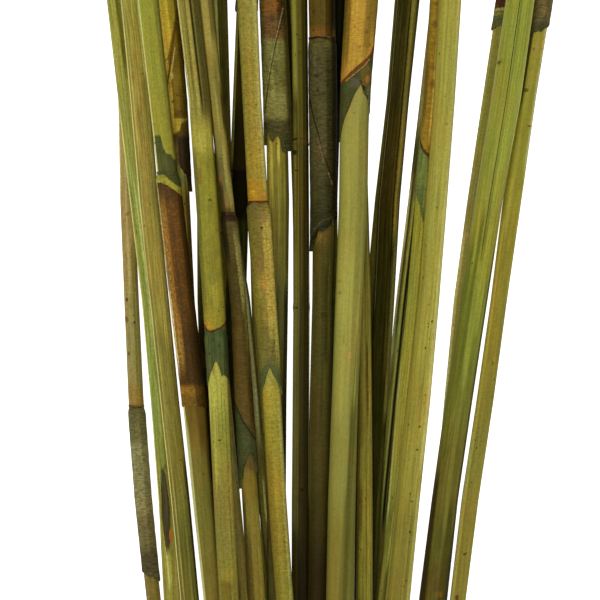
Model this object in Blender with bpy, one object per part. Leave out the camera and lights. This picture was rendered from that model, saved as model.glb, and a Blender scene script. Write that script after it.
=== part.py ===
"""A loose bunch of cut reeds, laid down on a flat surface.

The reeds lie along Y on z = 0 and fan out sideways along X, wider at +Y. Each reed
is one hollow-ended stem with the sheaths that grew on it. The reeds are laid one
after another, each coming to rest on the surface or on those already there, so
none of them overlap and none hangs in the air.
"""

import math

import bmesh
import bpy
import numpy as np
from mathutils import Vector

MM = 0.001

# Driving dimensions, in millimetres
HALF_LENGTH = 300.0
LINES_ACROSS = (135.0, 90.0, 45.0, 0.0, -45.0, -90.0, -135.0)
GAP = 0.35
BORE_SHARE = 0.62
BORE_DEPTH = 7.0
NODE_RIDGE = 0.25
NODE_HALF = 1.3
SHEATH_RISE = 4.0
SHEATH_LIP = 0.5
CLOSEST_STATIONS = 5.0
# Places across the bunch are given as seen from this height, so a reed that lies
# higher in the heap is drawn in and thinned a little for its real place.
VIEW_HEIGHT = 900.0

SIDES = 8
STEEPEST = 0.2
SAMPLE_STEP = 1.0

# Colours of the stems, as red, green and blue, and their roughness
TONES = {
    "olive": ((0.30, 0.27, 0.06), 0.55),
    "green": ((0.27, 0.31, 0.07), 0.5),
    "yellow": ((0.42, 0.36, 0.09), 0.5),
    "pale": ((0.36, 0.35, 0.10), 0.45),
    "brown": ((0.16, 0.09, 0.03), 0.6),
    "dark": ((0.06, 0.055, 0.02), 0.6),
}


def sheath(start, end, thick, end_thick=None, notch=4.0, facing=90.0):
    """A sheath that wraps its stem from the ring at start down to a torn end. The
    torn end is cut back by notch on the side that faces the angle given."""
    last = thick if end_thick is None else end_thick
    return {"start": start, "end": end, "thick": (thick, last), "notch": notch, "facing": facing}


def reed(tone, across, widths, trims, sheaths=(), rings=()):
    """One reed: where it crosses the seven lines, how wide it is there, how much
    shorter than the longest its two ends are, its sheaths and its bare rings."""
    wide = [widths] * len(LINES_ACROSS) if isinstance(widths, float) else widths
    return {
        "tone": tone,
        "across": across,
        "widths": wide,
        "trims": trims,
        "sheaths": sheaths,
        "rings": rings,
    }


REEDS = {
    "reed_01": reed("olive", (-80.1, -78.7, -77.7, -75.8, -73.8, -70.5, -65.8),
                    (6.3, 6.3, 6.4, 6.6, 6.8, 6.7, 6.4), (22, 14),
                    [sheath(-47.2, -124.2, 0.6, notch=3.0, facing=60)], rings=(150.0,)),
    "reed_02": reed("green", (-83.2, -78.2, -73.1, -67.7, -63.7, -59.8, -57.4),
                    (7.7, 7.4, 7.2, 7.2, 7.2, 8.0, 8.0), (8, 25),
                    [sheath(232.0, 168.0, 0.5)], rings=(-205.0,)),
    "reed_03": reed("olive", (-76.4, -71.9, -68.0, -63.3, -58.7, -53.8, -49.6),
                    (8.8, 9.0, 9.0, 8.8, 8.6, 8.6, 8.6), (30, 6),
                    [sheath(-168.0, -226.0, 0.6)], rings=(196.0,)),
    "reed_04": reed("brown", (-68.4, -63.3, -58.3, -53.1, -47.7, -43.7, -39.2),
                    (9.5, 9.2, 9.2, 9.7, 10.4, 9.2, 8.4), (4, 18),
                    [sheath(57.6, -48.6, 1.0, end_thick=0.5, notch=6.0, facing=100)],
                    rings=(212.0, -214.0)),
    "reed_05": reed("yellow", (-59.7, -54.9, -52.4, -50.2, -46.4, -41.9, -37.8),
                    (7.0, 6.0, 5.6, 5.6, 5.6, 5.6, 5.6), (18, 34),
                    [sheath(208.0, 57.0, 1.25, notch=4.0, facing=70)],
                    rings=(108.0, -122.0)),
    "reed_06": reed("dark", (-48.1, -44.6, -42.8, -42.6, -41.0, -39.1, -36.9),
                    7.2, (36, 28), rings=(140.0, -30.0)),
    "reed_07": reed("green", (-50.4, -45.2, -41.9, -38.8, -36.4, -34.2, -31.8),
                    (9.9, 9.5, 9.9, 10.1, 9.0, 9.2, 9.0), (0, 10),
                    [sheath(-13.5, -35.5, 0.4, notch=9.0, facing=95),
                     sheath(-188.0, -244.0, 0.6)], rings=(182.0,)),
    "reed_08": reed("dark", (-45.9, -42.8, -39.6, -36.5, -33.1, -29.1, -24.6),
                    (4.0, 4.0, 4.0, 4.0, 4.2, 4.6, 4.6), (44, 40), rings=(-150.0,)),
    "reed_09": reed("dark", (-36.5, -35.3, -34.2, -33.1, -32.2, -31.5, -29.2),
                    7.7, (14, 22), rings=(30.0, 190.0, -176.0)),
    "reed_10": reed("olive", (-42.4, -37.8, -32.9, -27.7, -25.2, -22.4, -19.6),
                    (6.3, 6.3, 6.3, 4.9, 6.4, 7.4, 8.0), (26, 12),
                    [sheath(39.6, -78.0, 1.0, notch=11.0, facing=85)], rings=(206.0, -218.0)),
    "reed_11": reed("green", (-40.5, -37.1, -31.9, -24.2, -19.8, -16.8, -12.1),
                    (3.6, 3.6, 3.6, 3.6, 3.6, 4.2, 4.0), (52, 46), rings=(-168.0,)),
    "reed_12": reed("dark", (-23.9, -25.7, -27.4, -28.8, -30.2, -31.9, -33.3),
                    9.0, (10, 32), [sheath(196.0, 130.0, 0.6)], rings=(56.0, -128.0)),
    "reed_13": reed("yellow", (-23.8, -21.7, -18.9, -15.8, -12.6, -10.2, -6.9),
                    (9.0, 8.4, 9.2, 8.6, 8.3, 8.2, 7.9), (6, 3),
                    [sheath(44.5, -40.0, 0.9, end_thick=0.7, notch=8.0, facing=75),
                     sheath(-172.0, -232.0, 0.7)], rings=(216.0,)),
    "reed_14": reed("dark", (-23.6, -21.6, -19.4, -18.3, -16.7, -14.8, -12.4),
                    7.2, (33, 19), rings=(-60.0, 150.0)),
    "reed_15": reed("brown", (-12.6, -10.7, -9.8, -9.9, -10.4, -10.6, -10.6),
                    (9.0, 9.4, 10.0, 9.2, 8.8, 8.6, 8.6), (12, 30),
                    [sheath(214.0, 66.5, 1.3, notch=4.0, facing=120)], rings=(-186.0,)),
    "reed_16": reed("dark", (-4.5, -2.2, -0.7, 0.2, 0.0, -0.5, -0.5), 5.4, (48, 50)),
    "reed_17": reed("olive", (-0.4, 0.2, 0.4, 0.6, 0.4, 0.2, 0.2),
                    (7.4, 7.0, 7.2, 7.3, 7.5, 7.8, 8.0), (20, 8),
                    rings=(200.0, 70.0, -3.0, -160.0)),
    "reed_18": reed("olive", (9.8, 10.3, 10.6, 9.8, 9.1, 8.4, 7.9),
                    (12.2, 11.6, 10.1, 8.8, 9.8, 9.2, 9.0), (2, 24),
                    [sheath(118.0, 24.0, 0.4, end_thick=1.2, notch=6.0, facing=40)],
                    rings=(-178.0,)),
    "reed_19": reed("dark", (17.6, 15.1, 13.7, 13.9, 13.3, 12.4, 11.5),
                    6.3, (40, 16), rings=(110.0,)),
    "reed_20": reed("olive", (23.9, 25.7, 27.2, 28.4, 28.9, 28.8, 28.5),
                    (7.2, 7.2, 7.2, 7.2, 7.2, 7.8, 8.6), (28, 5), [sheath(-160.0, -218.0, 0.5)], rings=(178.0,)),
    "reed_21": reed("pale", (27.8, 24.7, 24.0, 22.0, 20.2, 18.8, 18.0),
                    (13.4, 12.9, 12.8, 12.2, 11.9, 12.4, 12.6), (9, 13),
                    [sheath(236.0, 81.0, 1.9, end_thick=0.3, notch=15.0, facing=84),
                     sheath(-192.0, -252.0, 0.8)]),
    "reed_22": reed("dark", (44.6, 41.0, 35.7, 31.5, 27.9, 24.3, 20.7), 4.0, (42, 36)),
    "reed_23": reed("dark", (48.6, 44.5, 40.1, 37.8, 34.9, 31.9, 29.7),
                    (10.6, 9.2, 9.9, 9.5, 9.5, 9.0, 9.0), (15, 20),
                    [sheath(-152.0, -206.0, 0.7)], rings=(190.0,)),
    "reed_24": reed("green", (61.4, 56.4, 51.2, 45.9, 41.2, 36.9, 33.8),
                    (5.0, 5.0, 5.0, 5.2, 5.4, 5.4, 5.4), (38, 42)),
    "reed_25": reed("yellow", (61.6, 58.6, 54.0, 50.5, 46.0, 42.1, 36.5),
                    (5.6, 5.4, 5.4, 5.4, 5.4, 5.0, 3.8), (24, 38),
                    [sheath(204.0, 38.5, 0.4, notch=20.0, facing=180)], rings=(-182.0,)),
    "reed_26": reed("pale", (67.5, 64.9, 61.4, 57.8, 53.3, 48.4, 43.9),
                    (10.3, 9.7, 9.8, 9.8, 10.8, 11.0, 11.2), (3, 9),
                    [sheath(-180.0, -240.0, 0.7)], rings=(210.0,)),
    "reed_27": reed("olive", (92.2, 85.5, 78.8, 72.7, 68.4, 64.4, 60.3),
                    7.0, (16, 29), [sheath(194.0, 122.0, 0.7, notch=3.0, facing=110)],
                    rings=(-120.0,)),
    "reed_28": reed("green", (99.1, 92.6, 85.0, 78.2, 71.6, 65.2, 59.9),
                    (12.8, 13.3, 12.4, 12.3, 11.9, 11.7, 12.6), (5, 0),
                    [sheath(-196.0, -258.0, 0.8)], rings=(218.0,)),
    "reed_29": reed("olive", (109.6, 102.4, 95.5, 89.5, 83.3, 76.5, 71.0),
                    (7.4, 7.4, 8.4, 7.4, 7.7, 7.7, 7.2), (11, 17),
                    [sheath(186.0, 120.0, 0.7, notch=4.0, facing=60)], rings=(-170.0,)),
}

# From the lowest reed in the heap to the topmost
LAYING_ORDER = (1, 6, 9, 12, 14, 16, 19, 22, 24, 27, 8, 11, 15, 17, 18, 23, 20, 25,
                29, 5, 2, 3, 10, 26, 13, 4, 7, 21, 28)


def clear_scene():
    for old in list(bpy.data.objects):
        bpy.data.objects.remove(old, do_unlink=True)


def along_lines(values, y):
    """The value at y of something given at the seven lines. It goes smoothly
    through them, and runs on straight past the first and the last."""
    lines = np.array(LINES_ACROSS)[::-1]
    known = np.array(values, dtype=float)[::-1]
    slopes = np.gradient(known, lines)
    i = int(np.clip(np.searchsorted(lines, y) - 1, 0, len(lines) - 2))
    step = lines[i + 1] - lines[i]
    t = (y - lines[i]) / step
    if t < 0.0:
        return known[0] + slopes[0] * (y - lines[0])
    if t > 1.0:
        return known[-1] + slopes[-1] * (y - lines[-1])
    rise = known[i] * (1 + 2 * t) * (1 - t) ** 2 + known[i + 1] * t * t * (3 - 2 * t)
    return rise + step * (slopes[i] * t * (1 - t) ** 2 - slopes[i + 1] * t * t * (1 - t))


def stem_radius(row, y):
    lines = LINES_ACROSS[::-1]
    return 0.5 * float(np.interp(y, lines, list(row["widths"])[::-1]))


def sheath_layer(one, y):
    """How thick a sheath is at y, or 0 above its ring and below its torn end."""
    if y > one["start"] or y < one["end"]:
        return 0.0
    first, last = one["thick"]
    share = (one["start"] - y) / (one["start"] - one["end"])
    rise = min(1.0, (one["start"] - y) / SHEATH_RISE)
    return rise * (first + (last - first) * share)


def seen_stations(row, top, bottom):
    """(y, radius) pairs down the reed, as seen, with a pair at every change."""
    marks = []
    for ring in list(row["rings"]) + [one["start"] for one in row["sheaths"]]:
        marks += [(ring + NODE_HALF, 0.0), (ring, NODE_RIDGE)]
    marks += [(ring - NODE_HALF, 0.0) for ring in row["rings"]]
    for one in row["sheaths"]:
        marks.append((one["start"] - SHEATH_RISE, 0.0))
        marks.append((one["end"], 0.0))
        marks.append((one["end"] - SHEATH_LIP, 0.0))
    taken = [y for y, extra in marks] + [top, bottom]
    spare = [y for y in LINES_ACROSS if all(abs(y - t) > CLOSEST_STATIONS for t in taken)]
    marks += [(y, 0.0) for y in spare] + [(top, 0.0), (bottom, 0.0)]
    marks.sort(key=lambda mark: -mark[0])
    pairs = []
    for y, extra in marks:
        layer = sum(sheath_layer(one, y) for one in row["sheaths"])
        pairs.append((y, stem_radius(row, y) + layer + extra))
    return pairs


class Laid:
    """A reed in its place: the stations of its axis, and its radius at each."""

    def __init__(self, row, height, slope):
        self.row = row
        self.height = height
        self.slope = slope
        top = HALF_LENGTH - row["trims"][0]
        bottom = row["trims"][1] - HALF_LENGTH
        top_seen = top / self.shrink(top)
        bottom_seen = bottom / self.shrink(bottom)
        rows = []
        for y, radius in seen_stations(row, top_seen, bottom_seen):
            k = self.shrink(y)
            rows.append((y * k, along_lines(row["across"], y) * k, radius * k))
        self.y, self.x, self.radius = np.array(rows).T
        self.z = self.height + self.slope * self.y

    def shrink(self, y):
        return (VIEW_HEIGHT - self.height - self.slope * y) / VIEW_HEIGHT

    def at(self, y):
        """Axis x and z and the radius, at an array of places along the reed."""
        down = slice(None, None, -1)
        x = np.interp(y, self.y[down], self.x[down])
        radius = np.interp(y, self.y[down], self.radius[down])
        return x, self.height + self.slope * y, radius


def least_heights(one, below, y):
    """The lowest that the axis may be at each y, over the surface and the others."""
    x, _, radius = one.at(y)
    flat = math.cos(math.pi / SIDES)
    least = radius * flat
    for other in below:
        ox, oz, other_radius = other.at(y)
        reach = radius + other_radius + GAP
        room = reach**2 - (x - ox) ** 2
        crossing = (room > 0) & (y <= other.y[0]) & (y >= other.y[-1])
        over = oz + np.sqrt(np.where(crossing, room, 0.0))
        least = np.where(crossing, np.maximum(least, over), least)
    return least


def resting_line(y, least):
    """The straight axis on or above all the least heights whose middle is lowest,
    as (height at y = 0, slope). It is where a stiff stem comes to rest."""
    middle = 0.5 * (y[0] + y[-1])
    low, high = -STEEPEST, STEEPEST
    third = 1.0 / 3.0
    for _ in range(60):
        a = low + (high - low) * third
        b = high - (high - low) * third
        if np.max(least - a * (y - middle)) < np.max(least - b * (y - middle)):
            high = b
        else:
            low = a
    slope = 0.5 * (low + high)
    return float(np.max(least - slope * (y - middle)) - slope * middle), slope


def lay_reed(row, below):
    """Lays one reed on those below it. Its place changes its seen size a little,
    so it is worked out a few times over."""
    height, slope = 5.0, 0.0
    for _ in range(6):
        one = Laid(row, height, slope)
        y = np.arange(one.y[-1], one.y[0], SAMPLE_STEP)
        y = np.unique(np.concatenate([y, one.y] + [other.y for other in below]))
        y = y[(y >= one.y[-1]) & (y <= one.y[0])]
        height, slope = resting_line(y, least_heights(one, below, y))
    return Laid(row, height, slope)


def torn_shift(one, angle):
    """How far back towards its ring a sheath is torn, on the side at angle."""
    away = math.cos(angle - math.radians(one["facing"]))
    return one["notch"] * max(0.0, away)


def turned_reed(laid):
    """The reed as a turned solid: its outline, spun round Y, with a shallow bore in
    each cut end, then moved out along its own axis."""
    bm = bmesh.new()
    ends = [(laid.y[0], laid.radius[0], -1.0), (laid.y[-1], laid.radius[-1], 1.0)]
    outline = []
    for y, radius, inward in ends:
        bore = [(y + inward * BORE_DEPTH, 0.0)]
        bore.append((y + inward * BORE_DEPTH, radius * BORE_SHARE))
        bore.append((y, radius * BORE_SHARE))
        outline.append(bore)
    middle = list(zip(laid.y, laid.radius))
    points = outline[0] + middle + outline[1][::-1]
    turn = math.pi / SIDES
    facing = Vector((math.cos(turn), 0.0, math.sin(turn)))
    verts = [bm.verts.new(facing * (r * MM) + Vector((0.0, y * MM, 0.0))) for y, r in points]
    edges = [bm.edges.new(pair) for pair in zip(verts, verts[1:])]
    bmesh.ops.spin(bm, geom=verts + edges, cent=(0, 0, 0), axis=(0, 1, 0),
                   angle=2 * math.pi, steps=SIDES, use_merge=True)
    bmesh.ops.remove_doubles(bm, verts=bm.verts, dist=1e-6)
    for vert in bm.verts:
        bend(vert, laid)
    bmesh.ops.recalc_face_normals(bm, faces=bm.faces)
    return bm


def bend(vert, laid):
    """Moves a point of the straight turned reed to its place on the real one."""
    y = vert.co.y / MM
    angle = math.atan2(vert.co.z, vert.co.x)
    for one in laid.row["sheaths"]:
        for edge in (one["end"], one["end"] - SHEATH_LIP):
            if abs(y - edge * laid.shrink(edge)) < 0.1:
                y += torn_shift(one, angle)
    x, z, _ = laid.at(np.array([y]))
    vert.co += Vector((x[0], y - vert.co.y / MM, z[0])) * MM


def tone_material(name, tone):
    colour, roughness = TONES[tone]
    material = bpy.data.materials.new(name)
    material.use_nodes = True
    shader = material.node_tree.nodes["Principled BSDF"]
    shader.inputs["Base Color"].default_value = (*colour, 1.0)
    shader.inputs["Roughness"].default_value = roughness
    shader.inputs["Metallic"].default_value = 0.0
    return material


def make_reed(name, laid, collection):
    bm = turned_reed(laid)
    mesh = bpy.data.meshes.new(name)
    bm.to_mesh(mesh)
    bm.free()
    mesh.shade_smooth()
    mesh.set_sharp_from_angle(angle=math.radians(50))
    mesh.materials.append(tone_material(name, laid.row["tone"]))
    made = bpy.data.objects.new(name, mesh)
    collection.objects.link(made)
    return made


def centre_on_origin(made):
    """Moves the whole bunch so that the middle of its footprint is at the origin."""
    points = np.array([v.co for one in made for v in one.data.vertices])
    low, high = points.min(axis=0), points.max(axis=0)
    shift = Vector((-(low[0] + high[0]) / 2, -(low[1] + high[1]) / 2, 0.0))
    for one in made:
        for vert in one.data.vertices:
            vert.co += shift
    print("moved to the origin by", [round(1000 * value, 3) for value in shift])


def main():
    clear_scene()
    collection = bpy.data.collections.new("bunch_of_reeds")
    bpy.context.scene.collection.children.link(collection)
    laid = {}
    for number in LAYING_ORDER:
        name = f"reed_{number:02d}"
        laid[name] = lay_reed(REEDS[name], list(laid.values()))
    made = [make_reed(name, laid[name], collection) for name in REEDS]
    centre_on_origin(made)


main()
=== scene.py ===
import math

import bpy
import numpy as np
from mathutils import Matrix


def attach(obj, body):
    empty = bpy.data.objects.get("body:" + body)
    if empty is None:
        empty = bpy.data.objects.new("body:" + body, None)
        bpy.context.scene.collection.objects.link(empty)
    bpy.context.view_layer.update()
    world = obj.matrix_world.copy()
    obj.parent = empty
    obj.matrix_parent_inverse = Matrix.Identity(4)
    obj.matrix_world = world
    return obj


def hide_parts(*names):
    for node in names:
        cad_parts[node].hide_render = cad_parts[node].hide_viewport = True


# The looks of a loose bunch of cut reeds that lies on a pale surface.
#
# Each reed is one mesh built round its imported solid: a ribbed stem, the sheaths that
# wrap it with their torn ends, and two hollow cut ends. Places on a reed are given in
# millimetres as the camera sees them at the height of the surface: x across the
# bunch, y along it. "side" runs across a reed from -1 at its left to 1 at its right.

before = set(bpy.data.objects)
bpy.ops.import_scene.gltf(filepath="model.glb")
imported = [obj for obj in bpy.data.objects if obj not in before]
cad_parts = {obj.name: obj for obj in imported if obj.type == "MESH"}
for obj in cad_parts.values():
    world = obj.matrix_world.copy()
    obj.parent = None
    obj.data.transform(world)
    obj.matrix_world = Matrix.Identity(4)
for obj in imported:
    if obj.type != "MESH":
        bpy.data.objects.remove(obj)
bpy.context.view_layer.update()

MM = 0.001

# Where the camera looks straight down from, and its lens and sensor
CAMERA_HEIGHT = 900.0
VIEW_X = -16.955
VIEW_Y = -0.052
LENS = 120.0
SENSOR = 36.0

# The solids: their sides, how fast a sheath rises below its ring, and how far apart
# the cuts are that their axes and radii are read from
CAD_SIDES = 8
SHEATH_RISE = 4.0
CUT_STEP = 2.0

# How far from the middle the photo shows the reeds, from where on a strip's end no
# longer matters, and two places past the ends of every reed
VISIBLE = 135.0
HIDDEN_FROM = 300.0
HEAD = 400
FOOT = -400

# How far in from its ends a strip fades: so many millimetres at most, and no more
# than that share of its length
LONGEST_FADE = 14.0
FADE_SHARE = 0.35

# Columns round a reed and millimetres between its rows, and the extra rows at a node
TIERS = {"front": (48, 2.5), "middle": (36, 3.0), "back": (26, 4.0)}
SHEATH_COLUMNS = 104
SHEATH_ROW = 2.6
NODE_ROWS = (-2.4, -1.9, -1.4, -0.9, -0.5, 0.0, 0.5, 0.9, 1.5)

# A node's ridge and the groove under it: height, half width and place above the node
RIDGE = (0.24, 0.55, 0.0)
GROOVE = (-0.14, 0.6, -1.5)

# The jags round a torn end, the degrees from which an edge is sharp, and how close to
# the surface a point may come
TEAR_KNOTS = 34
SHARP_ANGLE = 50
LEAST_HEIGHT = 0.03

# The bore in a cut end: its share of the radius, and its depth
END_FACE_SHARE = 0.62
BORE_DEPTH = 9.0

# The rind: how much paler it is painted at its sides than along its middle, painted light for the light
# its sides catch; and its gloss
SIDE_PAINTED_LIGHT = 0.14
GLOSS = {"dark_reed": 0.0}
USUAL_GLOSS = 0.04

# How many millimetres an edge with a jag of 1 wanders with the hairs and the flecks,
# and how far the tones of a node reach above and below it
HAIR_JAG = 3.2
FLECK_JAG = 2.4
NODE_REACH = 9.0

# Each light's place, what it points at, its width, all in metres, and its power
KEY = ((-0.3, 0.1, 1.3), (-0.02, 0.0, 0.0), 0.5, 8.4)
FILL = ((0.2, -0.1, 1.4), (0.0, 0.0, 0.0), 0.7, 5.6)
WORLD_STRENGTH = 0.3
FLOOR_HALF = 3.0
FLOOR_TONE = (0.8, 0.8, 0.8, 1.0)
FLOOR_GLOW = 1.0
WHITE = (1.0, 1.0, 1.0, 1.0)

# Tones, as red, green and blue from 0 to 255
OLIVE = (146, 138, 58)
TAN = (152, 134, 66)
GREEN = (118, 126, 42)
# A painted highlight: the cream of a reed's edge where it catches the light
EDGE_HIGHLIGHT_PAINT = (196, 188, 118)
GREY_GREEN = (112, 112, 68)
OCHRE = (164, 128, 42)
BROWN = (104, 70, 30)
UMBER = (64, 42, 18)
DEEP_GREEN = (50, 62, 38)
DRAB = (98, 92, 52)
RED_BROWN = (84, 36, 20)
PITH = ((150, 136, 84), (206, 194, 140))
PITH_STAIN = (112, 88, 46)


def band(until, base, blotch, mottle=0.35, jag=0.0, soft=4.0):
    """A stretch of a reed down to y = until. That is one place, or one for the left
    and one for the right, or (side, y) points. blotch covers about the share mottle
    of it. jag is how far its lower edge wanders, and soft how wide it blends."""
    if not isinstance(until, tuple):
        until = (until, until)
    if not isinstance(until[0], tuple):
        until = ((-1.0, until[0]), (1.0, until[1]))
    return {"until": until, "base": base, "blotch": blotch, "mottle": mottle,
            "jag": jag, "soft": soft}


def strip(side, half, colour, strength=0.7, span=(HEAD, FOOT), depth=0.0, soft=0.65):
    """A lengthwise strip at that side, from span's top to its bottom. It may drift from
    one side to another, over the part of its span that the photo shows. depth makes it
    a groove, or a rib where negative."""
    first, last = side if isinstance(side, tuple) else (side, side)
    return {"first": first, "last": last, "half": half, "colour": colour,
            "strength": strength, "span": span, "depth": depth, "soft": soft}


def spot(x, y, wide, long, colour, strength=0.85, soft=0.5):
    """A soft-edged patch with those half sizes."""
    return {"kind": "spot", "at": (x, y), "size": (wide, long), "colour": colour,
            "strength": strength, "soft": soft}


def line(points, width, colour, strength=0.85):
    """A thin wandering line through the points."""
    return {"kind": "line", "points": points, "width": width, "colour": colour,
            "strength": strength}


def weave(grain=0.14, grit=0.16, cross=0.05, fine=0.6):
    """How a surface is worked: the strength of its lengthwise fibres, of its fine
    dots and of its wrinkles across, and how small its blotches are."""
    return {"grain": grain, "grit": grit, "cross": cross, "fine": fine}


FIBROUS = weave(0.26, 0.14, 0.04, 0.35)
PLAIN = weave(0.12, 0.12, 0.04, 0.45)
MOTTLED = weave(0.1, 0.18, 0.09, 0.5)
DOTTED = weave(0.05, 0.16, 0.16, 0.7)
GRANULAR = weave(0.07, 0.42, 0.3, 0.8)


def sheath(start, end, thick, bands, end_thick=None, notch=4.0, facing=90.0, tear=(),
           jag=0.8, marks=(), strips=(), surface=None):
    """A sheath from its ring at start down to its torn end. tear gives the torn end
    as (side, y) points where it is seen, and elsewhere it follows end and notch."""
    last = thick if end_thick is None else end_thick
    return {"start": start, "end": end, "thick": (thick, last), "bands": bands,
            "notch": notch, "facing": facing, "tear": tear, "jag": jag,
            "marks": marks, "strips": strips, "surface": surface}


def ring(y, tilt=0.0, strength=0.8, glow=OCHRE, line_colour=RED_BROWN, below=DEEP_GREEN):
    """A node: a thin ridge across the reed, warm above it and dark below."""
    return {"y": y, "tilt": tilt, "strength": strength, "glow": glow,
            "line": line_colour, "below": below}


def look(slot, tier, bands, sheaths=(), rings=(), strips=(), marks=(), surface=MOTTLED,
         specks=0.25, lobes=9, rib=0.012):
    """What one reed looks like: its stem's bands, then what is on it."""
    return {"slot": slot, "tier": tier, "bands": bands, "sheaths": sheaths,
            "rings": rings, "strips": strips, "marks": marks, "surface": surface,
            "specks": specks, "lobes": lobes, "rib": rib}


# Painted highlight down a reed's left edge
LEFT_EDGE_HIGHLIGHT = strip(-0.93, 0.1, EDGE_HIGHLIGHT_PAINT, 0.95, soft=0.4)
HIDDEN_END = [band(FOOT, DRAB, UMBER, 0.5)]

# What a stem and its sheath both show where the sheath starts, on two of the reeds
COLLAR_04 = [
    band(((-1, 56), (-0.3, 56.2), (0.1, 54.2), (0.6, 51.6), (1, 50.4)),
         (80, 82, 40), (54, 60, 30), 0.4, jag=0.8, soft=0.5),
    band(((-1, 52.6), (-0.5, 52.6), (0, 51.2), (0.5, 49.2), (1, 46.6)),
         (156, 152, 54), (136, 126, 42), 0.35, jag=0.5, soft=0.4)]
ABOVE_ARC_07 = band(
    ((-1, -10.4), (-0.93, -11.4), (-0.77, -13.3), (-0.5, -14.3), (0, -13.5), (0.46, -12.6),
     (0.84, -11.1), (1, -9.8)),
    (136, 130, 42), (144, 118, 40), 0.4, soft=0.5)
ARC_07 = line(
    ((-42.7, -11.4), (-41.8, -13.3), (-40.4, -14.3), (-38.1, -13.5), (-35.8, -12.6),
     (-34, -11.1), (-33.3, -9.8)),
    0.5, (84, 38, 20), 0.95)

# Besides each reed's own tones these tables paint light and shade: pale strips along lit edges are
# painted highlights,
# dark strips down shaded sides are painted shade, and the darkest back reeds are partly their own
# colour, partly painted shade.
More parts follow.
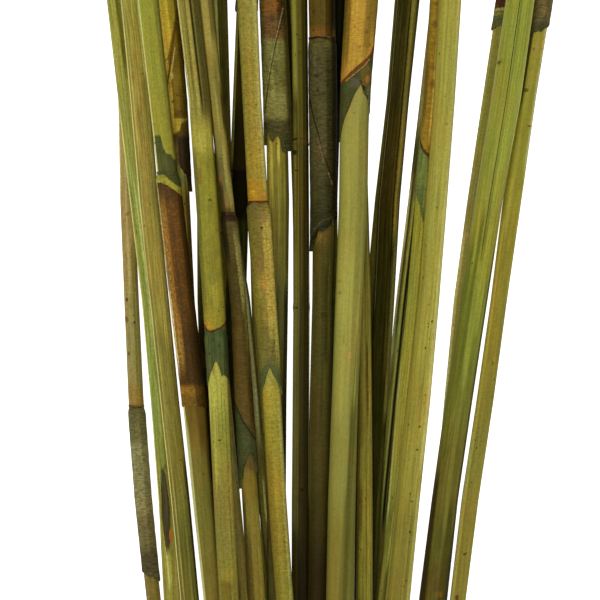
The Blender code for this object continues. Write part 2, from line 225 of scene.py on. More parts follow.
REEDS = {
    "reed_01": look(
        "olive_reed", "front",
        [band(56, (164, 152, 88), (140, 126, 68), 0.4, soft=12),
         band(30, (146, 132, 76), (120, 100, 54), 0.4, soft=20),
         band(-38, (150, 137, 80), (124, 108, 58), 0.42, soft=4),
         band(-47.2, (140, 120, 56), (138, 104, 46), 0.5, soft=1.5),
         band(FOOT, (114, 103, 44), (102, 90, 38), 0.4)],
        sheaths=[
            sheath(
                -47.2, -124.2, 0.6,
                [band(-51, (112, 104, 60), (66, 58, 32), 0.5, soft=3),
                 band(-64, (122, 116, 70), (66, 62, 36), 0.5, soft=6),
                 band(-96, (138, 134, 88), (98, 98, 62), 0.45, soft=8),
                 band(-112, (124, 119, 76), (74, 70, 42), 0.5, soft=8),
                 band(FOOT, (94, 90, 60), (52, 48, 30), 0.55)],
                notch=3, facing=60, jag=0.6,
                tear=((-1, -122.4), (-0.6, -122.8), (0.1, -124.2), (0.6, -124.6), (1, -126.2)),
                strips=[strip((0.8, 0.7), 0.45, (72, 68, 40), 0.5)],
                marks=[line(((-77, -47.3), (-73.8, -48.4), (-70.6, -48)), 0.35, (78, 38, 22))],
                surface=GRANULAR)],
        rings=[ring(150)],
        strips=[
            strip(-0.1, 0.16, (176, 164, 108), 0.45, (HEAD, -2)), strip(-0.6, 0.2, (136, 112, 72), 0.4),
            strip(0.85, 0.25, (98, 88, 44), 0.8, (30, FOOT)),
            strip(0.42, 0.2, (100, 92, 36), 0.85, (32, -46)),
            # Painted highlight: the pale strip down the left edge
            strip(-0.9, 0.14, (196, 188, 138), 0.8, (HEAD, 42))],
        marks=[
            spot(-77.7, 0, 0.6, 0.9, UMBER), spot(-77.9, -8.7, 0.9, 1.4, BROWN),
            spot(-76.7, -24, 0.5, 0.9, UMBER, 0.7), spot(-74.2, -10, 0.5, 0.8, UMBER),
            spot(-74.6, -7, 0.3, 0.5, UMBER), spot(-77.3, 38.5, 0.9, 1, BROWN, 0.6),
            spot(-73.6, 10, 0.7, 8, (96, 84, 40), 0.6, 0.8)],
        specks=0.5),
    "reed_02": look(
        "green_reed", "front",
        [band(92, (142, 141, 64), (126, 130, 54), 0.3, soft=20),
         band(50, (144, 143, 68), (130, 132, 54), 0.35, soft=20),
         band(-18, (136, 137, 60), (122, 126, 50), 0.35, soft=25),
         band(-40, (138, 140, 60), (122, 128, 48), 0.35, soft=20),
         band(
             ((-1, -60), (-0.5, -74), (-0.35, -81), (-0.1, -74), (0.5, -68), (1, -66)), (126, 130, 58),
             (110, 118, 44), 0.35, jag=0.8, soft=0.6),
         band(FOOT, (138, 132, 58), (120, 118, 46), 0.4)],
        sheaths=[sheath(232, 168, 0.5, HIDDEN_END)], rings=[ring(-205)],
        strips=[
            strip((0.3, 0.48), 0.28, (88, 90, 28), 0.92, (HEAD, 96), 0.3),
            strip(0.05, 0.26, (176, 175, 100), 0.9, (60, -30)),
            strip(0.05, 0.2, (156, 154, 80), 0.7, (-24, -68)),
            strip(0.78, 0.25, (166, 162, 88), 0.75, (-106, FOOT)),
            strip(0.95, 0.16, (96, 94, 40), 0.5, (HEAD, -60)),
            strip(-0.93, 0.1, EDGE_HIGHLIGHT_PAINT, 0.95, (92, -112), soft=0.4),
            strip((-0.62, 0), 0.06, EDGE_HIGHLIGHT_PAINT, 0.8, (-96, -134)), strip(0.1, 0.06, GREEN, 0.3)],
        marks=[
            spot(-60.2, -94, 1.8, 19, (62, 53, 34), 0.95, 0.16),
            spot(-62, -80.5, 0.6, 3, (84, 96, 56), 0.8, 0.4),
            spot(-57.9, -105.5, 0.7, 3, (170, 104, 34), 0.9, 0.4),
            spot(-58.5, -121, 1.1, 9, (166, 166, 86), 0.7, 0.5),
            line(((-60.6, -74), (-62.1, -84), (-61.8, -98), (-59.6, -114)), 0.25, UMBER, 0.6)],
        surface=FIBROUS, lobes=7, rib=0.018),
    "reed_03": look(
        "olive_reed", "front",
        [band(100, (146, 136, 58), (138, 118, 48), 0.35, soft=30),
         band(62, (146, 132, 60), (132, 106, 46), 0.4, soft=20),
         band(30, (136, 124, 56), (122, 100, 44), 0.4, soft=20),
         band(-10, (144, 134, 60), (130, 116, 48), 0.4, soft=20),
         band(-75, (124, 114, 48), (112, 100, 42), 0.4, soft=20),
         band(-100, (116, 106, 44), (104, 94, 38), 0.4, soft=20),
         band(FOOT, (96, 90, 34), (86, 79, 29), 0.45)],
        sheaths=[sheath(-168, -226, 0.6, HIDDEN_END)], rings=[ring(196)],
        strips=[
            LEFT_EDGE_HIGHLIGHT, strip(0.97, 0.05, (112, 102, 44), 0.5, depth=0.1),
            strip(0.42, 0.2, (148, 136, 62), 0.6, (95, -30)),
            strip(0.8, 0.2, (150, 142, 71), 0.75, (HEAD, -26)),
            strip(0.85, 0.2, (204, 197, 116), 0.85, (HEAD, 94)),
            strip(0.85, 0.27, (50, 44, 18), 0.88, (-66, FOOT)),
            strip(0, 0.15, (100, 92, 32), 0.6, (-56, FOOT)),
            strip(0.38, 0.14, (124, 117, 54), 0.65, (-70, FOOT)),
            strip(-0.58, 0.36, (119, 111, 45), 0.75, (36, -10)),
            strip((-0.62, -0.5), 0.08, (168, 160, 86), 0.5),
            strip((-0.78, -0.74), 0.05, (120, 94, 40), 0.4),
            strip((0.05, 0.15), 0.05, (126, 92, 38), 0.5, (135, 60)),
            strip((0.3, 0.35), 0.06, (124, 88, 38), 0.55, (135, 40)),
            strip((0.6, 0.55), 0.05, (112, 104, 36), 0.5, (100, 45)),
            strip((-0.25, -0.2), 0.05, (120, 112, 40), 0.4, (80, 0)),
            strip((0.4, 0.55), 0.06, (92, 86, 34), 0.6, (-10, FOOT), 0.2),
            strip((0.65, 0.75), 0.12, (130, 124, 52), 0.5, (-45, FOOT))],
        surface=weave(0.26, 0.1, 0.05, 0.3), lobes=11, rib=0.014),
    "reed_04": look(
        "brown_reed", "front",
        [band(
             ((-1, 73.6), (-0.22, 73.8), (-0.14, 71), (-0.05, 67.5), (0.2, 65.6), (0.6, 65.2),
              (0.75, 63.4), (1, 63)),
             (143, 137, 50), (134, 130, 48), 0.3, jag=0.8, soft=0.6),
         *COLLAR_04,
         band(-40, BROWN, UMBER, 0.5), band(-62, (112, 88, 29), (92, 68, 23), 0.45, soft=16),
         band(-70, (117, 99, 40), (112, 84, 32), 0.35, soft=16),
         band(FOOT, (114, 103, 41), (104, 90, 36), 0.35)],
        sheaths=[
            sheath(
                57.6, -48.6, 1,
                [*COLLAR_04,
                 band(44, (106, 74, 34), (50, 36, 18), 0.55, soft=6),
                 band(18, (148, 104, 40), (56, 38, 18), 0.6, soft=14),
                 band(-14, (134, 94, 32), (50, 34, 15), 0.6, soft=10),
                 band(-38.4, (104, 70, 24), (44, 31, 13), 0.6, soft=3.2),
                 band(-42.4, (140, 102, 31), (116, 82, 26), 0.4, soft=3),
                 band(FOOT, (116, 88, 29), (98, 66, 20), 0.45)],
                end_thick=0.5, notch=6, facing=100, jag=0.4,
                tear=((-1, -47.6), (-0.4, -48), (0.4, -47.2), (1, -48.4)),
                strips=[
                    strip(-0.78, 0.24, (116, 94, 36), 0.7, (47, 0)),
                    # Painted highlight: the two pale strips down the sheath's left edge
                    strip(-0.93, 0.09, (184, 164, 100), 0.75, (60, 6)),
                    strip(-0.9, 0.13, (196, 178, 120), 0.9, (12, -38)),
                    strip(-0.58, 0.24, (150, 112, 47), 0.6, (52, -38)),
                    strip(-0.42, 0.22, (164, 122, 52), 0.45, (0, -34)),
                    strip(0.42, 0.2, (58, 40, 14), 0.75, (2, -62)),
                    strip((-0.05, 0.1), 0.16, (60, 46, 24), 0.35, (44, -34)),
                    # Painted shade: the dark strip down the sheath's right side
                    strip((0.92, 0.8), 0.34, (40, 30, 12), 0.75, (54, -62))],
                surface=weave(0.05, 0.42, 0.14, 0.9))],
        rings=[ring(212), ring(-214)],
        strips=[
            LEFT_EDGE_HIGHLIGHT, strip(0.68, 0.16, (118, 116, 56), 0.7, (HEAD, 68)),
            strip(0.95, 0.14, (104, 90, 34), 0.5, (HEAD, 60)),
            strip(0.5, 0.3, (80, 62, 18), 0.7, (-34, -74)),
            # Painted highlight: the pale strip down the left edge
            strip(-0.85, 0.16, (178, 172, 112), 0.8, (-50, FOOT)),
            strip(0.92, 0.25, (78, 66, 22), 0.6, (-45, -86))],
        marks=[line(((-65.5, 70.4), (-62.8, 71)), 0.25, DEEP_GREEN)], surface=PLAIN, specks=0.12),
    "reed_05": look(
        "yellow_reed", "middle",
        [band(51, (148, 146, 72), (120, 118, 44), 0.35, soft=3),
         band(FOOT, (176, 158, 58), (150, 116, 40), 0.4)],
        sheaths=[
            sheath(
                208, 57, 1.25,
                [band(
                     ((-1, 97), (-0.45, 98), (0.05, 108), (1, 114)), (208, 184, 62), (192, 156, 50),
                     0.4, soft=2),
                 band(85.5, (136, 112, 32), (104, 84, 22), 0.45, soft=1.5),
                 band(81.4, (100, 72, 26), (122, 92, 30), 0.4, jag=0.8, soft=1.2),
                 band(
                     ((-1, 73.8), (-0.4, 74.6), (0.05, 76), (0.3, 79.6), (1, 80.8)), (190, 162, 54),
                     (150, 116, 38), 0.35, jag=0.8, soft=1.6),
                 band(73.2, (96, 74, 26), (76, 56, 18), 0.4, jag=0.6, soft=2.4),
                 band(FOOT, (64, 46, 23), (42, 31, 13), 0.45)],
                notch=4, facing=70, jag=0.6,
                tear=((-1, 62.5), (-0.4, 61), (0, 59), (0.35, 56.8), (0.6, 56), (0.8, 51), (1, 49)),
                strips=[
                    strip((1.95, -0.45), 0.9, (102, 82, 22), 0.9, (HEAD, 96), soft=0.15),
                    # Painted shade: these two strips darken the gold's right part
                    strip(0.25, 0.3, (118, 100, 24), 0.7, (HEAD, 112)),
                    strip(0.85, 0.35, (74, 58, 12), 0.85, (HEAD, 76)),
                    # Painted light: these two strips brighten the gold's left, where neighbouring reeds
                    # shade it
                    strip(-0.8, 0.27, (250, 224, 106), 0.95, (HEAD, 97)),
                    strip(-0.75, 0.32, (232, 196, 88), 0.95, (102, 74)),
                    strip(0.55, 0.4, (70, 56, 12), 0.6, (100, 76)),
                    strip(-0.6, 0.45, (136, 104, 60), 0.8, (75, 55)),
                    strip(-0.4, 0.3, (150, 148, 96), 0.7, (62, 54)),
                    strip(0.75, 0.5, (34, 26, 12), 0.85, (82, 44))],
                marks=[
                    line(
                        ((-54.6, 135), (-55.4, 125), (-57, 115), (-58.2, 105), (-59.6, 96)), 0.45,
                        (88, 54, 20)),
                    line(((-56, 113), (-57.2, 105), (-58.6, 98.5)), 0.22, (206, 186, 110), 0.6),
                    line(
                        ((-61.5, 108.2), (-60.6, 107.2), (-59.4, 108), (-58.8, 109.6)), 0.28,
                        (132, 78, 26)),
                    spot(-57.4, 100.5, 0.8, 1.6, (190, 178, 96), 0.6, 0.8),
                    spot(-57, 89, 0.6, 0.7, UMBER, 0.7), spot(-54.8, 91.5, 0.5, 0.5, UMBER, 0.7)],
                surface=DOTTED)],
        rings=[ring(-122)],
        strips=[
            strip(-0.4, 0.12, (112, 122, 44), 0.7, (58, 20)),
            strip(0.15, 0.1, (150, 120, 46), 0.6, (58, 20)),
            strip(0.45, 0.16, (92, 72, 36), 0.7, (66, 34)),
            strip(0.05, 0.2, (112, 88, 32), 0.5, (30, -8)), strip(0.7, 0.35, UMBER, 0.8, (58, FOOT))]),
    "reed_06": look(
        "dark_reed", "back",
        [band(-10, (68, 67, 32), (54, 53, 23), 0.4, soft=20),
         band(FOOT, (46, 40, 12), (34, 29, 9), 0.4)],
        rings=[ring(140), ring(-30, strength=0.1)],
        strips=[strip(-0.8, 0.2, GREY_GREEN, 0.4, (HEAD, 0))]),
    "reed_07": look(
        "green_reed", "front",
        [band(80, (124, 115, 50), (108, 102, 40), 0.35, soft=14),
         band(66, (160, 147, 62), (146, 130, 52), 0.35, soft=8),
         band(20, (142, 133, 46), (108, 104, 38), 0.42, soft=14),
         band(-5, (142, 133, 44), (108, 104, 36), 0.42, soft=6),
         ABOVE_ARC_07,
         band(-22, (78, 88, 44), (52, 62, 34), 0.45, soft=1),
         band(-50, (168, 158, 68), (150, 140, 54), 0.3, soft=14),
         band(-80, (140, 132, 54), (128, 120, 44), 0.3, soft=20),
         band(-115, (128, 115, 52), (116, 106, 42), 0.4, soft=10),
         band(-126, (136, 124, 46), (116, 102, 38), 0.45, soft=4),
         band(FOOT, (118, 102, 34), (100, 82, 28), 0.5)],
        sheaths=[
            sheath(
                -13.5, -35.5, 0.4,
                [ABOVE_ARC_07, band(FOOT, (78, 88, 44), (52, 62, 34), 0.45)],
                notch=9, facing=95, jag=0.7,
                tear=(
                    (-1, -37.5), (-0.85, -36), (-0.7, -33.8), (-0.52, -31.2), (-0.2, -27.8),
                    (-0.04, -26.8), (0.12, -29), (0.25, -31.6), (0.4, -34.6), (0.5, -33.6), (0.8, -34),
                    (1, -36.5)),
                strips=[strip(0.9, 0.3, (48, 54, 28), 0.6)],
                marks=[
                    ARC_07, spot(-36.2, -20.5, 0.5, 0.6, (36, 40, 26), 0.7),
                    spot(-40.4, -24, 0.5, 0.5, (36, 40, 26), 0.7),
                    spot(-38.6, -18, 0.4, 0.5, (36, 40, 26), 0.7)],
                surface=weave(0.3, 0.24, 0.03, 0.6)),
            sheath(-188, -244, 0.6, HIDDEN_END)],
        rings=[ring(182)],
        strips=[
            strip(-0.93, 0.1, EDGE_HIGHLIGHT_PAINT, 0.95, (HEAD, 78), soft=0.4),
            strip(-0.93, 0.06, EDGE_HIGHLIGHT_PAINT, 0.4, (-34, -64), soft=0.4),
            strip(-0.8, 0.22, (98, 90, 39), 0.75, (74, -12)),
            strip(-0.85, 0.2, (116, 106, 46), 0.7, (-60, FOOT)),
            strip(0.4, 0.15, (142, 132, 56), 0.6, (-84, FOOT)),
            strip(0.25, 0.3, (158, 148, 58), 0.6, (14, -8)),
            strip(-0.68, 0.16, (152, 144, 72), 0.5, (HEAD, 76), -0.15),
            strip((-0.32, -0.46), 0.045, (88, 82, 28), 0.8, (HEAD, 88), 0.35),
            strip((-0.05, -0.1), 0.18, (152, 144, 70), 0.9, (HEAD, 76), -0.15),
            strip((0.23, 0.28), 0.13, (46, 40, 12), 0.95, (HEAD, 78), 0.8),
            strip((0.65, 0.65), 0.3, (72, 67, 30), 0.85, (HEAD, 76)),
            strip(0.96, 0.08, (84, 76, 30), 0.5), strip(0.82, 0.24, (138, 127, 57), 0.65, (-64, FOOT)),
            strip((-0.5, -0.6), 0.14, (170, 160, 72), 0.45, (-30, -90)),
            strip((0.3, 0.2), 0.05, (104, 108, 36), 0.6, (-34, -70), 0.1),
            strip((-0.15, -0.1), 0.05, (116, 118, 40), 0.5, (-30, -120), 0.1),
            strip((0.6, 0.6), 0.05, (100, 98, 36), 0.5, (-34, -120), 0.1)],
        marks=[
            ARC_07, spot(-45, 55.5, 0.9, 4, (118, 78, 32), 0.55, 0.9),
            spot(-43.8, 70, 1.6, 4, (168, 156, 66), 0.5, 0.9),
            spot(-40.6, 50, 1.6, 6, (150, 140, 40), 0.5, 0.9),
            spot(-40.4, 44.8, 0.8, 0.7, (66, 74, 26), 0.8, 0.5),
            spot(-39.8, 18, 2.2, 4, (118, 100, 40), 0.4, 0.9),
            spot(-38.6, 10, 3, 3, (108, 108, 40), 0.35, 0.9),
            spot(-41.6, -10.8, 1.4, 1.6, (166, 116, 40), 0.6, 0.9),
            spot(-38.9, -31.2, 0.6, 2.2, (128, 92, 58), 0.6, 0.6),
            spot(-36, -62.8, 0.9, 0.4, (58, 58, 24), 0.85, 0.5),
            spot(-31.5, -123, 1.6, 3, (158, 128, 44), 0.5, 0.8)],
        specks=0.35, lobes=7, rib=0.01),
    "reed_08": look(
        "dark_reed", "middle",
        [band(-30, (32, 28, 10), (48, 44, 18), 0.3, soft=20),
         # Painted light: these two bands are paler than the reed's own tone, where it lies in shade
         band(-84, (196, 182, 108), (164, 152, 82), 0.4, soft=16),
         band(FOOT, (168, 156, 80), (140, 128, 60), 0.4)],
        rings=[ring(-150)],
        strips=[strip(0.1, 0.1, (150, 138, 96), 0.5, (-70, FOOT)), strip(0.6, 0.2, UMBER, 0.2)]),
    "reed_09": look(
        "dark_reed", "middle",
        [band(62, (92, 86, 36), (64, 60, 20), 0.4, soft=24),
         band(FOOT, (160, 153, 60), (124, 117, 44), 0.4)],
        rings=[ring(30, strength=0.5), ring(190), ring(-176)],
        strips=[
            # Painted light: the pale rib is brightened where reed_10 shades it
            strip((-0.45, -0.25), 0.3, (190, 186, 100), 0.95, (HEAD, 85)),
            strip((0, 0.1), 0.05, (34, 30, 10), 0.7, (HEAD, 60), 0.2),
            strip(0.5, 0.3, (64, 60, 14), 0.6, (HEAD, 85)), strip(0.95, 0.15, (50, 44, 24), 0.5)],
        surface=FIBROUS),
    "reed_10": look(
        "olive_reed", "front",
        [band(112, (156, 146, 74), (142, 124, 58), 0.35, soft=14),
         band(66, (138, 127, 60), (122, 104, 46), 0.4, soft=14),
         band(48, (112, 101, 50), (98, 80, 40), 0.4, soft=8),
         band(41.5, (130, 106, 52), (116, 76, 44), 0.45, soft=2),
         band(-76, (98, 82, 36), (70, 58, 26), 0.5, soft=12),
         band(-90, (128, 108, 38), (106, 80, 28), 0.45, soft=8),
         band(FOOT, (120, 109, 42), (108, 94, 36), 0.4)],
        sheaths=[
            sheath(
                39.6, -78, 1,
                [band(
                     ((-1, 34.8), (-0.3, 35.2), (0.1, 36.8), (1, 38.4)), (72, 54, 27), (46, 32, 17),
                     0.5, soft=2.6),
                 band(20, (88, 78, 36), (60, 50, 26), 0.45, soft=8),
                 band(-5, (78, 67, 26), (58, 46, 20), 0.45, soft=14),
                 band(-30, (84, 70, 26), (62, 50, 20), 0.45, soft=8),
                 band(((-1, -46), (1, -62)), (92, 76, 30), (66, 50, 20), 0.45, jag=0.8, soft=0.8),
                 band(FOOT, (72, 74, 38), (42, 44, 24), 0.45)],
                end_thick=1, notch=11, facing=85, jag=0.8,
                tear=(
                    (-1, -85), (-0.8, -80), (-0.35, -74), (0.1, -69), (0.4, -67), (0.6, -69),
                    (0.8, -73), (1, -78)),
                strips=[
                    strip((0.6, 0.75), 0.38, (136, 128, 70), 0.85, (37, -10)),
                    strip((0.85, 0.9), 0.2, (110, 106, 46), 0.6, (0, -26)),
                    strip(0.82, 0.32, (50, 44, 13), 0.8, (-26, -64)),
                    # Painted shadow: the near-black strip on the sheath's left is the shade reed_07
                    # casts
                    strip(-0.7, 0.38, (26, 21, 5), 0.85, (56, 10))],
                marks=[
                    line(((-29.4, -46), (-25.5, -54.5), (-20.2, -62.4)), 0.4, (38, 28, 14)),
                    spot(-30.8, 36.8, 2.8, 1.6, (44, 26, 24), 0.8, 0.6),
                    spot(-29.5, -10, 1.2, 2.6, (58, 42, 18), 0.5, 0.8),
                    spot(-24.4, -63, 1.8, 3, (70, 74, 42), 0.6, 0.8),
                    spot(-22.4, -72, 0.5, 2.4, (40, 34, 18), 0.7, 0.6)],
                surface=weave(0.07, 0.28, 0.2, 0.8))],
        rings=[ring(206), ring(-218)],
        strips=[
            # Painted shadow: the dark strip down the left edge, shade cast by reed_07
            strip(-0.85, 0.22, (84, 75, 28), 0.8, (110, 40)),
            strip(0.62, 0.42, (94, 86, 37), 0.85, (HEAD, 108)),
            strip(0.45, 0.2, (112, 103, 46), 0.7, (112, 76)),
            strip(0.85, 0.24, (54, 48, 11), 0.85, (100, 70)),
            strip(0.12, 0.18, (158, 146, 72), 0.8, (96, 72)),
            strip(0.35, 0.3, (156, 143, 72), 0.8, (76, 42)),
            strip(0.72, 0.3, (146, 133, 66), 0.9, (60, 36)),
            # Painted shadow of reed_07 on the left, continued
            strip(-0.65, 0.38, (46, 38, 8), 0.8, (56, 36)),
            strip(-0.55, 0.45, (62, 54, 18), 0.75, (-98, FOOT)),
            strip(-0.8, 0.28, (66, 58, 20), 0.85, (-82, FOOT)),
            strip(0.8, 0.25, (140, 129, 54), 0.65, (-84, FOOT)),
            strip((0.15, 0.2), 0.05, (110, 102, 40), 0.5, (HEAD, 75), 0.2),
            strip((-0.3, -0.2), 0.05, (140, 108, 48), 0.4, (HEAD, 60)),
            strip(0.97, 0.08, (84, 76, 30), 0.6, (HEAD, 45))],
        marks=[
            spot(-35.5, 54, 1.2, 1.4, (142, 84, 40), 0.5, 0.8),
            spot(-22, -74.5, 1, 2, (84, 60, 26), 0.6, 0.7)],
        surface=weave(0.1, 0.16, 0.08, 0.6)),
    "reed_11": look(
        "green_reed", "middle",
        # Painted light: the upper band is far paler than the reed's own tone, where it lies in shade
        [band(-62, (204, 202, 130), (168, 166, 94), 0.4, soft=20),
         band(FOOT, (136, 130, 60), (110, 104, 46), 0.4)],
        rings=[ring(-168)],
        strips=[
            # Painted light: the pale strip at side 0.1, and the one at side 0.45 below
            strip(-0.75, 0.25, (30, 28, 12), 0.5), strip(0.1, 0.22, (230, 226, 150), 0.6, (HEAD, -66)),
            strip(0.78, 0.32, (60, 56, 22), 0.8, (HEAD, -70)),
            strip(0.45, 0.25, (230, 222, 130), 0.8, (-76, -106))],
        marks=[spot(-17.2, -76, 0.5, 4, (150, 146, 60), 0.6, 0.5)]),
    "reed_12": look(
        "dark_reed", "back",
        [band(88, (48, 40, 10), (34, 30, 8), 0.4, soft=20),
         band(58, (34, 28, 8), (22, 20, 6), 0.4, soft=3), band(36, (26, 24, 7), (18, 17, 5), 0.4),
         band(FOOT, (56, 54, 17), (42, 40, 13), 0.4)],
        sheaths=[sheath(196, 130, 0.6, HIDDEN_END)],
        rings=[
            ring(58, line_colour=(34, 14, 26), glow=(40, 30, 10), below=(20, 10, 16)),
            ring(-128, strength=0.3)],
        strips=[
            strip((0.55, 0.8), 0.1, (70, 90, 24), 0.8, (40, 0)),
            strip(-0.86, 0.18, (136, 128, 62), 0.8, (HEAD, 50))]),
    "reed_13": look(
        "yellow_reed", "front",
        [band(112, (146, 129, 56), (152, 120, 48), 0.3, soft=14),
         band(72, (142, 124, 48), (148, 114, 40), 0.35, soft=10),
         band(54, (149, 129, 46), (156, 118, 38), 0.4, soft=4),
         band(44.4, (164, 128, 36), (154, 104, 30), 0.45, soft=0.6), band(-38, OLIVE, TAN, 0.4),
         band(-50, (158, 142, 52), (160, 124, 46), 0.4, soft=8),
         band(-95, (145, 131, 45), (146, 116, 42), 0.3, soft=25),
         band(FOOT, (135, 121, 43), (128, 104, 38), 0.3)],
        sheaths=[
            sheath(
                44.5, -40, 0.9,
                [band(
                     ((-1, 42.2), (-0.6, 43.3), (-0.25, 43.8), (0.1, 42.9), (0.5, 43.2), (1, 43.7)),
                     (96, 60, 28), (72, 44, 24), 0.45, soft=0.7),
                 band(36, (110, 102, 42), (94, 80, 40), 0.45, soft=5),
                 band(12, (122, 114, 42), (90, 76, 40), 0.45, soft=8),
                 band(-12, (142, 128, 52), (108, 92, 40), 0.45, soft=12),
                 band(
                     ((-1, -33), (-0.5, -30), (-0.08, -26.5), (0.4, -29), (1, -34)), (116, 106, 46),
                     (88, 84, 38), 0.45, jag=0.9, soft=1.2),
                 band(FOOT, (94, 98, 52), (58, 64, 36), 0.45)],
                end_thick=0.7, notch=8, facing=75, jag=0.5,
                tear=(
                    (-1, -42), (-0.75, -38.5), (-0.45, -35), (-0.1, -31), (0.05, -30.2), (0.3, -33),
                    (0.55, -34.5), (0.8, -38), (1, -42)),
                strips=[
                    strip(-0.72, 0.22, (104, 102, 36), 0.55, (42, -25)),
                    strip((0.78, 0.9), 0.25, (178, 164, 78), 0.85, (46, -34)),
                    strip(-0.4, 0.2, (98, 90, 32), 0.6, (4, -28)),
                    strip(0.4, 0.25, (172, 153, 70), 0.7, (44, -24))],
                marks=[
                    spot(-20.8, 41.8, 1.5, 1, (92, 92, 58), 0.6, 0.8),
                    line(
                        ((-23.4, 42.6), (-22, 44.6), (-20.4, 45.2), (-18.8, 43.8), (-17, 45.2),
                         (-15.4, 44.4), (-13.6, 45.4)),
                        0.55, (76, 38, 20), 0.95),
                    spot(-17.1, 32.3, 0.7, 0.6, (58, 40, 24), 0.85, 0.5),
                    spot(-16.5, 37, 2.2, 3, (124, 98, 66), 0.35, 0.9),
                    spot(-18.5, 16, 2, 5, (122, 96, 50), 0.4, 0.9),
                    spot(-16, 7.6, 1.3, 3.4, (168, 128, 52), 0.6, 0.8),
                    line(((-11.2, -17.5), (-12.8, -25.5), (-13.8, -30.5)), 0.22, (98, 66, 42), 0.7),
                    line(((-10.4, -20), (-10, -31)), 0.2, (104, 72, 46), 0.6),
                    line(((-11.8, -13.5), (-15, -19.5), (-17.4, -24)), 0.16, (96, 92, 40), 0.5),
                    line(((-11.6, -16.5), (-14, -21.5), (-16, -26)), 0.16, (96, 92, 40), 0.5),
                    line(((-12.6, -12), (-16.2, -17.5), (-18.6, -21)), 0.16, (96, 92, 40), 0.4)],
                surface=weave(0.05, 0.26, 0.22, 0.75)),
            sheath(-172, -232, 0.7, HIDDEN_END)],
        rings=[ring(216)],
        strips=[
            strip(-0.85, 0.2, (124, 120, 50), 0.55, (HEAD, 46)),
            strip((0.55, 0.4), 0.16, (160, 146, 66), 0.5, (HEAD, 52)),
            strip(0.83, 0.28, (188, 176, 100), 0.75, (HEAD, 42), soft=1.1),
            strip(-0.4, 0.2, (126, 112, 42), 0.5, (HEAD, 48)),
            strip(0.83, 0.26, (164, 154, 84), 0.8, (-36, FOOT)),
            strip(-0.6, 0.4, (114, 102, 35), 0.65, (-60, FOOT))],
        marks=[spot(-21.3, 48.4, 0.9, 1.4, (196, 152, 40), 0.6, 0.8)], surface=DOTTED, specks=0.25,
        rib=0.008),
    "reed_14": look(
        # Painted light: the band is paler than the reed's own tone, as it lies in deep shade
        "dark_reed", "back", [band(FOOT, (142, 135, 60), (112, 106, 44), 0.4)],
        rings=[ring(-60, strength=0.3), ring(150)]),
    "reed_15": look(
        "brown_reed", "front",
        [band(44, (126, 115, 43), (106, 95, 35), 0.4, soft=15),
         band(10, (112, 101, 40), (92, 82, 32), 0.4, soft=20),
         band(-40, (88, 82, 38), (74, 68, 30), 0.4, soft=20),
         band(FOOT, (78, 71, 30), (58, 50, 20), 0.4)],
        sheaths=[
            sheath(
                214, 66.5, 1.3,
                [band(128, (138, 92, 38), (84, 52, 28), 0.45, jag=1, soft=4),
                 band(
                     ((-1, 118), (-0.3, 117), (0.2, 117), (1, 116)), (126, 92, 44), (72, 48, 32), 0.5,
                     jag=1.5, soft=1.6),
                 band(106, (132, 122, 62), (84, 80, 40), 0.45, soft=6),
                 band(94, (116, 108, 50), (78, 72, 36), 0.45, soft=6),
                 band(81, (138, 132, 70), (88, 88, 42), 0.45, soft=4),
                 band(FOOT, (94, 90, 45), (46, 48, 27), 0.55)],
                notch=4, facing=120, jag=0.8,
                tear=(
                    (-1, 70), (-0.95, 71.5), (-0.91, 83), (-0.84, 85.5), (-0.78, 84), (-0.7, 77),
                    (-0.5, 71.4), (-0.35, 70.6), (-0.2, 72.6), (0, 73.2), (0.12, 73.6), (0.3, 71.5),
                    (0.42, 67), (0.6, 66), (0.8, 66.6), (1, 67.5)),
                strips=[
                    strip((-0.85, -0.95), 0.14, (110, 104, 44), 0.6, (HEAD, 110)),
                    strip(0.68, 0.42, (30, 21, 7), 0.8, (HEAD, 116)),
                    strip(-0.82, 0.2, (140, 134, 66), 0.6, (114, 76)),
                    strip((-0.3, -0.2), 0.18, (140, 134, 70), 0.4, (112, 84)),
                    strip(0.95, 0.18, (62, 54, 24), 0.65, (HEAD, 66))],
                marks=[
                    spot(-11.2, 132, 1.8, 1.5, (140, 84, 34), 0.6, 0.8),
                    spot(-12.6, 126, 1.2, 1.6, (70, 44, 34), 0.6, 0.8),
                    spot(-8.6, 127, 0.9, 0.9, (60, 34, 20), 0.7, 0.8),
                    spot(-9.6, 121.5, 1, 1, (60, 34, 22), 0.7, 0.8),
                    line(
                        ((-6.8, 135), (-8.6, 124), (-11.4, 112), (-14, 98), (-15.8, 84)), 0.34,
                        (62, 52, 28), 0.8),
                    line(
                        ((-7.6, 131), (-9.8, 121), (-12.4, 110), (-14.6, 97)), 0.2, (150, 134, 78),
                        0.6),
                    line(((-12.6, 79.4), (-10, 79), (-7.6, 80.2)), 0.18, DEEP_GREEN, 0.7),
                    line(((-12.4, 77.4), (-9, 77), (-6.4, 75.4)), 0.22, (72, 48, 28), 0.8),
                    line(((-12.6, 75.4), (-9.6, 74.8), (-6.8, 73.2)), 0.18, (52, 56, 30), 0.8),
                    spot(-5.9, 69.6, 1.3, 4, (50, 56, 32), 0.7, 0.5)],
                surface=GRANULAR)],
        rings=[ring(-186)],
        strips=[
            # Painted light: these two pale strips brighten the stem's left, where reed_13 shades it
            strip(-0.75, 0.4, (188, 172, 72), 0.85, (78, 28)),
            strip(-0.4, 0.3, (140, 128, 54), 0.75, (52, -26)),
            strip((-0.75, -0.62), 0.1, (190, 186, 66), 0.85, (88, 66)),
            strip((0.12, 0.1), 0.12, (176, 164, 64), 0.85, (75, 58)),
            strip(0.08, 0.06, (150, 138, 56), 0.5, (58, 20)),
            strip((-0.25, -0.2), 0.05, (92, 86, 32), 0.5, (66, -40), 0.12),
            strip((0.45, 0.4), 0.05, (76, 70, 28), 0.6, (66, -40), 0.15),
